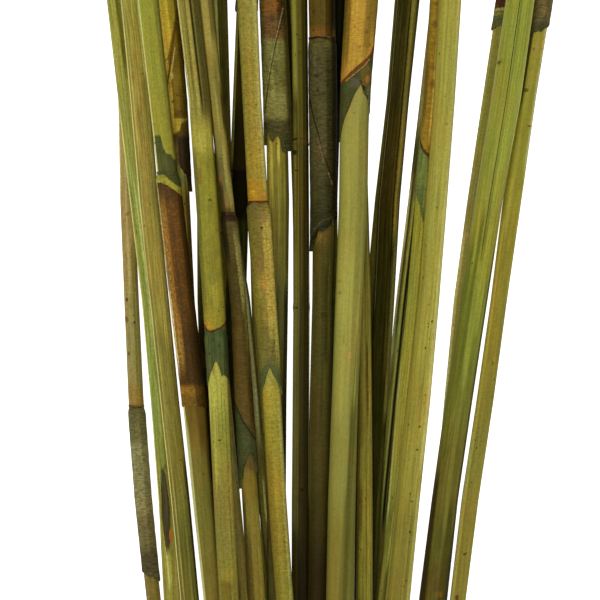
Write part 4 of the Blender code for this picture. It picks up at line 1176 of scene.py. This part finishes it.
class Skin(Paint):
    """The material of a stem or a sheath, painted from its bands, strips and marks.

    Of its textures, fibre and hair run lengthwise and wrinkle runs across. fleck is
    fine and even, cloud shapes the blotches, and drift is a slow change of hue."""

    def __init__(self, name, reed, surface, seed):
        super().__init__(name)
        self.reed = reed
        self.surface = surface
        self.creases = []
        offset = (13.7 * seed, 31.1 * seed, 7.9 * seed)
        self.grain = self.attribute("grain")
        self.side = self.attribute("side", "Fac")
        self.moved = self.vector("ADD", self.grain, offset)
        split = self.tree.nodes.new("ShaderNodeSeparateXYZ")
        self.plug(split.inputs[0], self.grain)
        self.y = split.outputs["Y"]
        self.fibre = self.texture((1.1, 0.025, 1.1), 4.0, 0.65)
        self.hair = self.texture((3.0, 0.1, 3.0), 2.0, 0.6)
        self.fleck = self.texture((1.05, 0.8, 1.05), 4.0, 0.68)
        self.wrinkle = self.texture((0.4, 1.6, 0.4), 3.0, 0.6)
        self.drift = self.texture((0.05, 0.02, 0.05), 2.0, 0.55)
        cloud = self.texture((0.42, 0.16, 0.42), 5.0, 0.6)
        self.cloud = self.between(surface["fine"], cloud, self.fleck)
        warp = self.texture((0.9, 0.5, 0.9), 3.0, 0.6, "Color")
        centred = self.vector("SUBTRACT", warp, (0.5, 0.5, 0.5))
        flat = self.vector("MULTIPLY", self.grain, (1.0, 1.0, 0.0))
        wide = self.vector("MULTIPLY", centred, (1.0, 1.6, 0.0))
        narrow = self.vector("MULTIPLY", centred, (0.5, 0.8, 0.0))
        self.spot_place = self.vector("ADD", flat, wide)
        self.line_place = self.vector("ADD", flat, narrow)

    def texture(self, scale, detail, rough, output="Fac"):
        """Noise that repeats that many times a millimetre, in each direction."""
        return self.noise(self.vector("MULTIPLY", self.moved, scale), detail, rough, output)

    def cover(self, mask, strength, tone):
        """Lays a tone over what is painted so far."""
        share = self.math("MULTIPLY", mask, strength)
        self.colour = self.blend(share, self.colour, linear(tone))

    def edge(self, points):
        """The height of an edge that runs across the reed through (side, y) points."""
        share = self.math("MULTIPLY_ADD", self.side, 0.5)
        share.node.inputs[2].default_value = 0.5
        if len(points) == 2:
            return self.between(share, points[0][1], points[1][1])
        heights = [y for side, y in points]
        low, high = min(heights), max(heights)
        node = self.tree.nodes.new("ShaderNodeFloatCurve")
        self.plug(node.inputs["Value"], share)
        curve = node.mapping.curves[0]
        for side, y in points[1:-1]:
            curve.points.new(0.5 + 0.5 * side, (y - low) / (high - low))
        curve.points[0].location = (0.0, (heights[0] - low) / (high - low))
        curve.points[-1].location = (1.0, (heights[-1] - low) / (high - low))
        for point in curve.points:
            point.handle_type = "VECTOR"
        node.mapping.update()
        scaled = self.math("MULTIPLY", node.outputs["Value"], high - low)
        return self.math("ADD", scaled, low)

    def bands(self, bands):
        """The base tone, the blotch tone and the blotch share, band after band."""
        base = linear(bands[0]["base"])
        blotch = linear(bands[0]["blotch"])
        amount = bands[0]["mottle"]
        for above, below in zip(bands, bands[1:]):
            height = self.math("SUBTRACT", self.y, self.edge(above["until"]))
            if above["jag"] > 0:
                ragged = self.math("SUBTRACT", self.hair, 0.5)
                torn = self.math("MULTIPLY", ragged, HAIR_JAG * above["jag"])
                loose = self.math("SUBTRACT", self.fleck, 0.5)
                wide = self.math("MULTIPLY", loose, FLECK_JAG * above["jag"])
                height = self.math("ADD", height, self.math("ADD", torn, wide))
            half = 0.5 * above["soft"]
            mask = self.step(height, half, -half)
            base = self.blend(mask, base, linear(below["base"]))
            blotch = self.blend(mask, blotch, linear(below["blotch"]))
            amount = self.between(mask, amount, below["mottle"])
        # Blotches lie where the cloud is past this value, which sinks as mottle grows
        low = self.math("SUBTRACT", 0.72, self.math("MULTIPLY", amount, 0.46))
        blotched = self.step(self.cloud, self.math("SUBTRACT", low, 0.1),
                             self.math("ADD", low, 0.1))
        self.colour = self.blend(self.math("MULTIPLY", blotched, 0.85), base, blotch)

    def strip(self, one):
        top, bottom = one["span"]
        high, low = drift_span(one)
        along = self.tree.nodes.new("ShaderNodeMapRange")
        self.plug(along.inputs["Value"], self.y)
        along.inputs["From Min"].default_value = high
        along.inputs["From Max"].default_value = low
        along.inputs["To Min"].default_value = one["first"]
        along.inputs["To Max"].default_value = one["last"]
        half = one["half"]
        ragged = self.math("MULTIPLY", self.math("SUBTRACT", self.fleck, 0.5), 0.4 * half)
        away = self.math("ADD", self.math("SUBTRACT", self.side, along.outputs[0]), ragged)
        away = self.math("ABSOLUTE", away)
        outer = half * (1.0 + 0.25 * one["soft"])
        inner = half * (1.0 - 0.75 * one["soft"])
        mask = self.step(away, outer, inner)
        fade = fade_length(one)
        if top < HIDDEN_FROM:
            mask = self.math("MULTIPLY", mask, self.step(self.y, top, top - fade))
        if bottom > -HIDDEN_FROM:
            mask = self.math("MULTIPLY", mask, self.step(self.y, bottom, bottom + fade))
        self.cover(mask, one["strength"], one["colour"])

    def place(self, x, y):
        """A seen place, as an offset across the reed from its own axis."""
        return (x - self.reed.axis(y), y, 0.0)

    def spot(self, one):
        wide, long = one["size"]
        away = self.vector("SUBTRACT", self.spot_place, self.place(*one["at"]))
        away = self.vector("MULTIPLY", away, (1.0 / wide, 1.0 / long, 0.0))
        length = self.vector("LENGTH", away, output="Value")
        mask = self.step(length, 1.0 + 0.5 * one["soft"], 1.0 - 0.5 * one["soft"])
        self.cover(mask, one["strength"], one["colour"])

    def line(self, one):
        nearest = None
        for first, last in zip(one["points"], one["points"][1:]):
            start = np.array(self.place(*first))
            span = np.array(self.place(*last)) - start
            away = self.vector("SUBTRACT", self.line_place, tuple(start))
            along = self.vector("DOT_PRODUCT", away, tuple(span), "Value")
            share = self.math("DIVIDE", along, float(span @ span), clamp=True)
            off = self.vector("SUBTRACT", away, self.scaled(tuple(span), share))
            length = self.vector("LENGTH", off, output="Value")
            nearest = length if nearest is None else self.math("MINIMUM", nearest, length)
        mask = self.step(nearest, 1.3 * one["width"], 0.5 * one["width"])
        self.creases.append(mask)
        self.cover(mask, one["strength"], one["colour"])

    def ring(self, one):
        """A warm glow above a node, its thin dark line, and a darker bloom below."""
        tilted = self.math("MULTIPLY", self.side, one["tilt"])
        wave = self.math("MULTIPLY", self.math("SUBTRACT", self.cloud, 0.5), 2.0)
        place = self.math("ADD", one["y"], self.math("ADD", tilted, wave))
        up = self.math("SUBTRACT", self.y, place)
        strength = one["strength"]
        glow = self.math("MULTIPLY", self.step(up, NODE_REACH, 1.0), self.step(up, -0.4, 0.4))
        self.cover(glow, 0.7 * strength, one["glow"])
        bloom = self.math("MULTIPLY", self.step(up, -NODE_REACH, -1.0), self.step(up, 0.4, -0.4))
        bloom = self.math("MULTIPLY", bloom, self.step(self.fleck, 0.3, 0.6, 0.45, 1.0))
        self.cover(bloom, 0.75 * strength, one["below"])
        thin = self.step(self.math("ABSOLUTE", up), 0.65, 0.25)
        self.creases.append(thin)
        self.cover(thin, strength, one["line"])

    def specks(self, amount):
        """Small dark dots, a few of them in each square centimetre."""
        node = self.tree.nodes.new("ShaderNodeTexVoronoi")
        node.inputs["Scale"].default_value = 1.0
        self.plug(node.inputs["Vector"], self.vector("MULTIPLY", self.moved, (0.55, 0.3, 0.55)))
        chance = self.tree.nodes.new("ShaderNodeSeparateColor")
        self.plug(chance.inputs[0], node.outputs["Color"])
        few = self.step(chance.outputs[0], 1.0 - 0.45 * amount, 1.0)
        size = self.math("MULTIPLY", few, 0.2)
        dot = self.step(self.math("SUBTRACT", node.outputs["Distance"], size), 0.03, -0.03)
        self.cover(dot, 0.7, UMBER)

    def finish(self):
        """The grain on top of the colours, the painted light that pales the sides, and the surface's
        relief and gloss.
        """
        grain, grit, cross = [self.surface[part] for part in ("grain", "grit", "cross")]
        value = self.math("MULTIPLY", self.shade(self.fibre, grain),
                          self.shade(self.hair, 0.5 * grain))
        value = self.math("MULTIPLY", value, self.shade(self.fleck, grit))
        value = self.math("MULTIPLY", value, self.shade(self.wrinkle, cross))
        # Painted light: the colour grows paler towards the reed's sides, as if they caught more light
        outward = self.math("MULTIPLY", self.side, self.side)
        side_light_paint = self.math("ADD", self.math("MULTIPLY", outward, SIDE_PAINTED_LIGHT), 1.0)
        value = self.math("MULTIPLY", value, side_light_paint)
        value = self.math("MULTIPLY", value, self.shade(self.cloud, 0.06))
        grey = self.tree.nodes.new("ShaderNodeCombineColor")
        for channel in range(3):
            self.plug(grey.inputs[channel], value)
        colour = self.blend(1.0, self.colour, grey.outputs[0], "MULTIPLY")
        hue = self.between(0.4, self.drift, self.between(0.6, self.fleck, self.fibre))
        tint = self.blend(self.step(hue, 0.36, 0.64), (0.92, 1.03, 0.98, 1.0),
                          (1.09, 0.97, 0.86, 1.0))
        colour = self.blend(1.0, colour, tint, "MULTIPLY")
        self.plug(self.shader.inputs["Base Color"], colour)
        rough = self.step(self.fleck, 0.3, 0.7, 0.46, 0.66)
        self.plug(self.shader.inputs["Roughness"], rough)
        gloss = GLOSS.get(self.reed.look["slot"], USUAL_GLOSS)
        self.shader.inputs["Specular IOR Level"].default_value = gloss
        height = self.math("ADD", self.math("MULTIPLY", self.fibre, 3.0 * grain),
                           self.math("MULTIPLY", self.fleck, 2.0 * grit))
        height = self.math("ADD", height, self.math("MULTIPLY", self.wrinkle, 4.0 * cross))
        for crease in self.creases:
            height = self.math("SUBTRACT", height, self.math("MULTIPLY", crease, 0.9))
        bump = self.tree.nodes.new("ShaderNodeBump")
        bump.inputs["Strength"].default_value = 0.55
        bump.inputs["Distance"].default_value = 0.12 * MM
        self.plug(bump.inputs["Height"], height)
        self.plug(self.shader.inputs["Normal"], bump.outputs["Normal"])
        return self.material

    def shade(self, texture, strength):
        """A factor round 1 that darkens and lightens by that share."""
        return self.step(texture, 0.33, 0.67, 1.0 - strength, 1.0 + strength)


def skin_material(name, reed, layer, rings, specks, surface, seed):
    """layer is a look or a sheath: its bands first, then what lies on them."""
    skin = Skin(name, reed, surface, seed)
    skin.bands(layer["bands"])
    for one in layer["strips"]:
        skin.strip(one)
    for one in rings:
        skin.ring(one)
    if specks > 0:
        skin.specks(specks)
    for one in layer["marks"]:
        if one["kind"] == "spot":
            skin.spot(one)
        else:
            skin.line(one)
    return skin.finish()


def cut_material():
    """The cut face of a reed and the wall of its bore: pale pith with darker pores."""
    paint = Paint("cut_end")
    where = paint.attribute("grain")
    pores = paint.noise(paint.vector("MULTIPLY", where, (3.0, 0.4, 3.0)), 4.0, 0.65)
    tone = paint.blend(paint.step(pores, 0.35, 0.65), linear(PITH[0]), linear(PITH[1]))
    stain = paint.noise(paint.vector("MULTIPLY", where, (0.6, 0.3, 0.6)), 3.0)
    tone = paint.blend(paint.step(stain, 0.45, 0.75, 0.0, 0.6), tone, linear(PITH_STAIN))
    paint.plug(paint.shader.inputs["Base Color"], tone)
    paint.shader.inputs["Roughness"].default_value = 0.85
    bump = paint.tree.nodes.new("ShaderNodeBump")
    bump.inputs["Strength"].default_value = 0.5
    bump.inputs["Distance"].default_value = 0.15 * MM
    paint.plug(bump.inputs["Height"], pores)
    paint.plug(paint.shader.inputs["Normal"], bump.outputs["Normal"])
    return paint.material


# The shapes


def sheath_layer(one, y):
    """How thick the sheath is at each y, in the solids, on the side that isn't torn."""
    first, last = one["thick"]
    share = (one["start"] - y) / (one["start"] - one["end"])
    rise = np.clip((one["start"] - y) / SHEATH_RISE, 0.0, 1.0)
    layer = rise * (first + (last - first) * share)
    return np.where((y > one["start"]) | (y < one["end"]), 0.0, layer)


def drift_span(one):
    """Between which heights a strip drifts from its first side to its last."""
    top, bottom = one["span"]
    return min(top, VISIBLE), max(bottom, -VISIBLE)


def fade_length(one):
    """Over how many millimetres a strip fades out at its ends."""
    top, bottom = one["span"]
    return min(LONGEST_FADE, FADE_SHARE * (top - bottom))


class Reed:
    """A reed's axis and radius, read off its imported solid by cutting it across."""

    def __init__(self, name, look_of):
        self.look = look_of
        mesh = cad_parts[name].data
        points = np.zeros(len(mesh.vertices) * 3)
        mesh.vertices.foreach_get("co", points)
        points = points.reshape(-1, 3) / MM
        ends = np.zeros(len(mesh.edges) * 2, dtype=np.int64)
        mesh.edges.foreach_get("vertices", ends)
        self.first = points[ends[0::2]]
        self.second = points[ends[1::2]]
        bottom, top = points[:, 1].min(), points[:, 1].max()
        cuts = np.arange(bottom + 1.0, top - 1.0, CUT_STEP)
        rows = np.array([self.section(y) for y in cuts])
        self.slope, self.height = np.polyfit(cuts, rows[:, 1], 1)
        y = self.seen(cuts)
        share = self.shrink(y)
        radius = rows[:, 2] / share
        # Close to a ring or a torn end the solid's width doesn't tell the stem's
        clean = np.ones(len(y), dtype=bool)
        for one in look_of["sheaths"]:
            torn = (y > one["end"] - 2.5) & (y < one["end"] + one["notch"] + 2.0)
            rising = (y > one["start"] - SHEATH_RISE - 1.0) & (y < one["start"] + 2.5)
            clean &= ~(torn | rising)
            radius -= sheath_layer(one, y)
        for one in look_of["rings"]:
            clean &= np.abs(y - one["y"]) > 2.5
        self.y = y[clean]
        self.x = ((rows[:, 0] - VIEW_X) / share)[clean]
        self.wide = radius[clean]
        self.top = float(self.seen(np.array(top)))
        self.bottom = float(self.seen(np.array(bottom)))

    def section(self, y):
        """The middle and the half width of the solid where the plane at y cuts it."""
        before = self.first[:, 1] - y
        after = self.second[:, 1] - y
        cut = before * after < 0
        share = (before[cut] / (before[cut] - after[cut]))[:, None]
        at = self.first[cut] + share * (self.second[cut] - self.first[cut])
        low, high = at.min(axis=0), at.max(axis=0)
        half = 0.5 * (high[0] - low[0]) / math.cos(math.pi / CAD_SIDES)
        return 0.5 * (low[0] + high[0]), 0.5 * (low[2] + high[2]), half

    def seen(self, y):
        """Where the camera sees a place at y along the reed's axis."""
        return (y - VIEW_Y) * CAMERA_HEIGHT / (CAMERA_HEIGHT - self.height - self.slope * y)

    def shrink(self, y):
        """How much smaller a seen size is made for its real height in the heap."""
        return (CAMERA_HEIGHT - self.height - self.slope * y) / CAMERA_HEIGHT

    def axis(self, y):
        return np.interp(y, self.y, self.x)

    def radius(self, y):
        return np.interp(y, self.y, self.wide)

    def points(self, angle, y, radius):
        """Points of the frame, in metres, for angles from straight up, seen places
        along the reed and seen radii."""
        share = self.shrink(y)
        x = self.axis(y) * share + VIEW_X + radius * share * np.sin(angle)
        row = y * share + VIEW_Y
        z = self.height + self.slope * row + radius * share * np.cos(angle)
        z = np.maximum(z, LEAST_HEIGHT)
        return np.stack([x, row, z], axis=-1) * MM


class Build:
    """A mesh that grows grid by grid. Each grid wraps round the reed."""

    def __init__(self):
        self.points = []
        self.grain = []
        self.side = []
        self.faces = []
        self.slots = []
        self.count = 0

    def grid(self, points, grain, side, slot, flip=False):
        """Rows of points that close round the reed, with a quad between neighbours."""
        rows, columns = side.shape
        base = self.count
        index = base + np.arange(rows * columns).reshape(rows, columns)
        after = np.roll(index, -1, axis=1)
        a, b = index[:-1], after[:-1]
        c, d = after[1:], index[1:]
        order = (a, d, c, b) if flip else (a, b, c, d)
        quads = np.stack(order, axis=-1).reshape(-1, 4)
        self.points.append(points.reshape(-1, 3))
        self.grain.append(grain.reshape(-1, 3))
        self.side.append(side.reshape(-1))
        self.faces.append(quads)
        self.slots.append(np.full(len(quads), slot))
        self.count += rows * columns

    def cap(self, centre, ring_start, columns, slot, flip):
        """Closes the last grid with a fan round one more point."""
        self.points.append(np.array([centre]))
        self.grain.append(np.zeros((1, 3)))
        self.side.append(np.zeros(1))
        ring_index = ring_start + np.arange(columns)
        after = np.roll(ring_index, -1)
        hub = np.full(columns, self.count)
        pair = (after, ring_index) if flip else (ring_index, after)
        fan = np.stack([pair[0], pair[1], hub, hub], axis=-1)
        self.faces.append(fan)
        self.slots.append(np.full(columns, slot))
        self.count += 1

    def mesh(self, name, materials):
        """The mesh of all grids. The last two corners of a fan's face are one point."""
        faces = [tuple(f[:3]) if f[2] == f[3] else tuple(f) for f in np.vstack(self.faces).tolist()]
        mesh = bpy.data.meshes.new(name)
        mesh.from_pydata(np.vstack(self.points).tolist(), [], faces)
        grain = mesh.attributes.new("grain", "FLOAT_VECTOR", "POINT")
        grain.data.foreach_set("vector", np.vstack(self.grain).astype(np.float32).ravel())
        side = mesh.attributes.new("side", "FLOAT", "POINT")
        side.data.foreach_set("value", np.concatenate(self.side).astype(np.float32))
        for material in materials:
            mesh.materials.append(material)
        mesh.polygons.foreach_set("material_index", np.concatenate(self.slots).astype(np.int32))
        mesh.shade_smooth()
        mesh.set_sharp_from_angle(angle=math.radians(SHARP_ANGLE))
        mesh.update()
        return mesh


def round_columns(columns):
    """Angles from straight up, starting at the underside."""
    return -math.pi + 2.0 * math.pi * np.arange(columns) / columns


def relief(strips, y, angle):
    """How far the grooves, and ribs where negative, take the surface in."""
    side = np.sin(angle)
    total = np.zeros(np.broadcast(y, angle).shape)
    for one in strips:
        if one["depth"] == 0:
            continue
        top, bottom = one["span"]
        high, low = drift_span(one)
        share = np.clip((high - y) / (high - low), 0.0, 1.0)
        centre = one["first"] + (one["last"] - one["first"]) * share
        ends = np.minimum(top - y, y - bottom)
        fade = np.clip(ends / fade_length(one), 0.0, 1.0)
        seen_side = np.cos(angle) > -0.05
        total += one["depth"] * fade * seen_side * np.exp(-(((side - centre) / one["half"]) ** 2))
    return total


def ribs(rng, lobes, share, y, angle):
    """A slow unevenness round the stem, that runs lengthwise and wanders a little."""
    wave = np.zeros(np.broadcast(y, angle).shape)
    for count in (lobes, lobes - 3, 2):
        phase = rng.uniform(0.0, 2.0 * math.pi)
        turn = rng.uniform(-0.002, 0.002)
        weight = rng.uniform(0.4, 1.0)
        wave += weight * np.sin(count * angle + phase + turn * y)
    return share * wave


def node_profile(y, places):
    """The thin ridge of each node and the shallow groove under it."""
    total = np.zeros(y.shape)
    for place in places:
        for height, half, above in (RIDGE, GROOVE):
            total += height * np.exp(-(((y - place - above) / half) ** 2))
    return total


def grid_grain(angle, y, radius):
    """The reed's own straight space, in millimetres, that its textures are laid in."""
    flat = np.broadcast_to(y, radius.shape)
    return np.stack([radius * np.sin(angle), flat, radius * np.cos(angle)], axis=-1)


def stem_shape(build, reed, rng):
    """The stem from end to end, with closer rows at its rings and ends, and both cuts."""
    columns, spacing = TIERS[reed.look["tier"]]
    angle = round_columns(columns)[None, :]
    rows = list(np.arange(reed.bottom + 1.0, reed.top - 1.0, spacing))
    rings = [one["y"] for one in reed.look["rings"]]
    for place in rings:
        rows += [place + shift for shift in NODE_ROWS]
    rows += [reed.bottom, reed.bottom + 0.25, reed.top - 0.25, reed.top]
    rows = np.unique(np.round([y for y in rows if reed.bottom <= y <= reed.top], 3))[::-1]
    y = rows[:, None]
    radius = reed.radius(y) * (1.0 + ribs(rng, reed.look["lobes"], reed.look["rib"], y, angle))
    radius = radius + node_profile(y, rings) - relief(reed.look["strips"], y, angle)
    # Both rims are a little rounded
    rounding = np.zeros(y.shape)
    rounding[0] = rounding[-1] = 0.22
    rounding[1] = rounding[-2] = 0.06
    radius = radius - rounding
    full_y = np.broadcast_to(y, radius.shape)
    points = reed.points(angle, full_y, radius)
    grain = grid_grain(angle, y, radius)
    side = np.broadcast_to(np.sin(angle), radius.shape)
    build.grid(points, grain, side, 0)
    for end, inward, row in ((reed.top, -1.0, 0), (reed.bottom, 1.0, -1)):
        cut_end(build, reed, rng, end, inward, radius[row], angle)


def cut_end(build, reed, rng, end, inward, rim, angle):
    """The pale cut face, the bore's wall and its floor, which is a thin membrane."""
    columns = rim.shape[0]
    shares = np.array([1.0, 0.93, 0.82, 0.7, END_FACE_SHARE, END_FACE_SHARE - 0.02,
                       END_FACE_SHARE - 0.02, END_FACE_SHARE - 0.03, 0.3])
    depths = np.array([0.0, -0.05, 0.08, 0.02, 0.1, 0.5, 0.5 * BORE_DEPTH, BORE_DEPTH,
                       BORE_DEPTH + 0.4])
    rough = rng.uniform(-0.08, 0.08, (len(shares), columns))
    rough[0] = 0.0
    y = end + inward * depths[:, None] + rough
    radius = rim[None, :] * shares[:, None]
    points = reed.points(angle, y, radius)
    grain = grid_grain(angle, y, radius)
    side = np.zeros(radius.shape)
    slot = len(reed.look["sheaths"]) + 1
    start = build.count
    build.grid(points, grain, side, slot, flip=inward < 0)
    hub_y = np.array(end + inward * (BORE_DEPTH + 0.5))
    hub = reed.points(np.array(0.0), hub_y, np.array(0.0))
    build.cap(hub, start + (len(shares) - 1) * columns, columns, slot, flip=inward < 0)


def torn_edge(one, angle, rng):
    """Where a sheath ends, at each angle: its drawn tear where it is seen from above,
    the plain notch elsewhere, and small jags all round."""
    facing = math.radians(90.0 - one["facing"])
    edge = one["end"] + one["notch"] * np.maximum(0.0, np.cos(angle - facing))
    if one["tear"]:
        sides = [side for side, y in one["tear"]]
        heights = [y for side, y in one["tear"]]
        drawn = np.interp(np.sin(angle), sides, heights)
        under = 0.5 * (heights[0] + heights[-1])
        share = np.clip(np.cos(angle) + 1.0, 0.0, 1.0)
        edge = under + (drawn - under) * share
    knots = np.sort(rng.uniform(-math.pi, math.pi, TEAR_KNOTS))
    jags = rng.uniform(-1.0, 1.0, TEAR_KNOTS) * one["jag"]
    slivers = rng.uniform(0.0, 1.0, TEAR_KNOTS) > 0.88
    jags = jags - slivers * rng.uniform(0.5, 2.0, TEAR_KNOTS) * one["jag"]
    return edge + np.interp(angle, knots, jags, period=2.0 * math.pi)


def sheath_shape(build, reed, one, slot, rng):
    """A sheath: its outside from the ring to the torn end, the torn edge's own
    thickness, and its inside, sunk a little into the stem."""
    angle = round_columns(SHEATH_COLUMNS)[None, :]
    edge = torn_edge(one, angle, rng)
    start = one["start"]
    length = start - edge
    middle = float(length.mean())
    # Rows below the ring, in millimetres, closer at the ring and at the torn end
    near = [0.0, 0.5, 1.0, 1.6, 2.4, 3.2, 4.2]
    body = list(np.arange(6.0, middle - 4.0, SHEATH_ROW))
    last = [middle - 3.0, middle - 2.0, middle - 1.2, middle - 0.6, middle - 0.2, middle]
    share = np.array(near + body + last)[:, None] / middle
    y = start - share * length
    stem = reed.radius(y)
    first, end_thick = one["thick"]
    layer = np.clip((start - y) / SHEATH_RISE, 0.0, 1.0) * (first + (end_thick - first) * share)
    wrinkle = 0.05 * np.sin(0.8 * y + 3.0 * angle + rng.uniform(0.0, 6.0))
    curl = 0.12 * np.clip(1.0 - (1.0 - share) * middle / 3.0, 0.0, 1.0)
    uneven = ribs(rng, 7, 0.006, y, angle) * stem
    lift = np.clip(layer / 0.3, 0.0, 1.0)
    radius = stem + layer + (wrinkle + uneven + curl) * lift + node_profile(y, [start])
    radius = radius - relief(one["strips"], y, angle)
    # The inside runs back up from the torn end, and closes on the outside's first row
    inner_share = np.array([1.0, 1.0, 0.55, 0.0])[:, None]
    inner_y = start - inner_share * length
    sunk = np.array([0.02, -0.2, -0.25, -0.25])[:, None]
    inner = reed.radius(inner_y) + sunk
    full_y = np.vstack([y, inner_y])
    full_radius = np.vstack([radius, inner])
    points = reed.points(angle, full_y, full_radius)
    grain = grid_grain(angle, full_y, full_radius)
    side = np.broadcast_to(np.sin(angle), full_radius.shape)
    points = np.concatenate([points, points[:1]])
    grain = np.concatenate([grain, grain[:1]])
    side = np.concatenate([side, side[:1]])
    build.grid(points, grain, side, slot)


def make_reed(name, cut_end_material, number):
    """One reed as one object, with a material for its stem and for each sheath."""
    look_of = REEDS[name]
    reed = Reed(name, look_of)
    rng = np.random.default_rng(1000 + number)
    build = Build()
    stem_shape(build, reed, rng)
    specks = look_of["specks"]
    materials = [skin_material(f"{name}_stem", reed, look_of, look_of["rings"], specks,
                               look_of["surface"], number)]
    for place, one in enumerate(look_of["sheaths"], start=1):
        sheath_shape(build, reed, one, place, rng)
        rings = [] if one["marks"] else [ring(one["start"], strength=0.35)]
        materials.append(skin_material(f"{name}_sheath_{place}", reed, one, rings, specks,
                                       one["surface"] or look_of["surface"],
                                       number + 40 * place))
    materials.append(cut_end_material)
    mesh = build.mesh(f"{name}_looks", materials)
    made = bpy.data.objects.new(f"{name}_looks", mesh)
    bpy.context.scene.collection.objects.link(made)
    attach(made, "root")
    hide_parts(name)


# The surface, the light and the camera


def make_floor():
    """A pale floor that glows a little, so that it is white between the reeds."""
    mesh = bpy.data.meshes.new("floor")
    sides = ((-1, -1), (1, -1), (1, 1), (-1, 1))
    corners = [(FLOOR_HALF * x, FLOOR_HALF * y, 0.0) for x, y in sides]
    mesh.from_pydata(corners, [], [(0, 1, 2, 3)])
    material = bpy.data.materials.new("pale_floor")
    material.use_nodes = True
    shader = material.node_tree.nodes["Principled BSDF"]
    shader.inputs["Base Color"].default_value = FLOOR_TONE
    shader.inputs["Roughness"].default_value = 0.8
    shader.inputs["Emission Color"].default_value = WHITE
    shader.inputs["Emission Strength"].default_value = FLOOR_GLOW
    mesh.materials.append(material)
    floor = bpy.data.objects.new("floor", mesh)
    floor.visible_glossy = False
    bpy.context.scene.collection.objects.link(floor)


def area_light(name, place, towards, size, power):
    """A round light that hangs at a place and faces another."""
    data = bpy.data.lights.new(name, "AREA")
    data.shape = "DISK"
    data.size = size
    data.energy = power
    light = bpy.data.objects.new(name, data)
    light.location = place
    away = np.array(towards) - np.array(place)
    tilt = math.atan2(math.hypot(away[0], away[1]), -away[2])
    turn = math.atan2(away[1], away[0]) - math.pi / 2
    light.rotation_euler = (tilt, 0.0, turn)
    bpy.context.scene.collection.objects.link(light)


def make_light():
    """A soft key light from the left, a weaker one from the right, and an even world."""
    area_light("key", *KEY)
    area_light("fill", *FILL)
    world = bpy.data.worlds.new("studio")
    world.use_nodes = True
    background = world.node_tree.nodes["Background"]
    background.inputs["Color"].default_value = WHITE
    background.inputs["Strength"].default_value = WORLD_STRENGTH
    bpy.context.scene.world = world
    bpy.context.scene.view_settings.view_transform = "Standard"
    bpy.context.scene.view_settings.look = "None"


def make_camera():
    """The camera of the photo, which looks straight down."""
    data = bpy.data.cameras.new("camera")
    data.lens = LENS
    data.sensor_width = SENSOR
    data.clip_start = 0.01
    camera = bpy.data.objects.new("camera", data)
    camera.location = (VIEW_X * MM, VIEW_Y * MM, CAMERA_HEIGHT * MM)
    bpy.context.scene.collection.objects.link(camera)
    bpy.context.scene.camera = camera


def main():
    make_camera()
    make_light()
    make_floor()
    cut = cut_material()
    for number, name in enumerate(REEDS, start=1):
        make_reed(name, cut, number)


main()
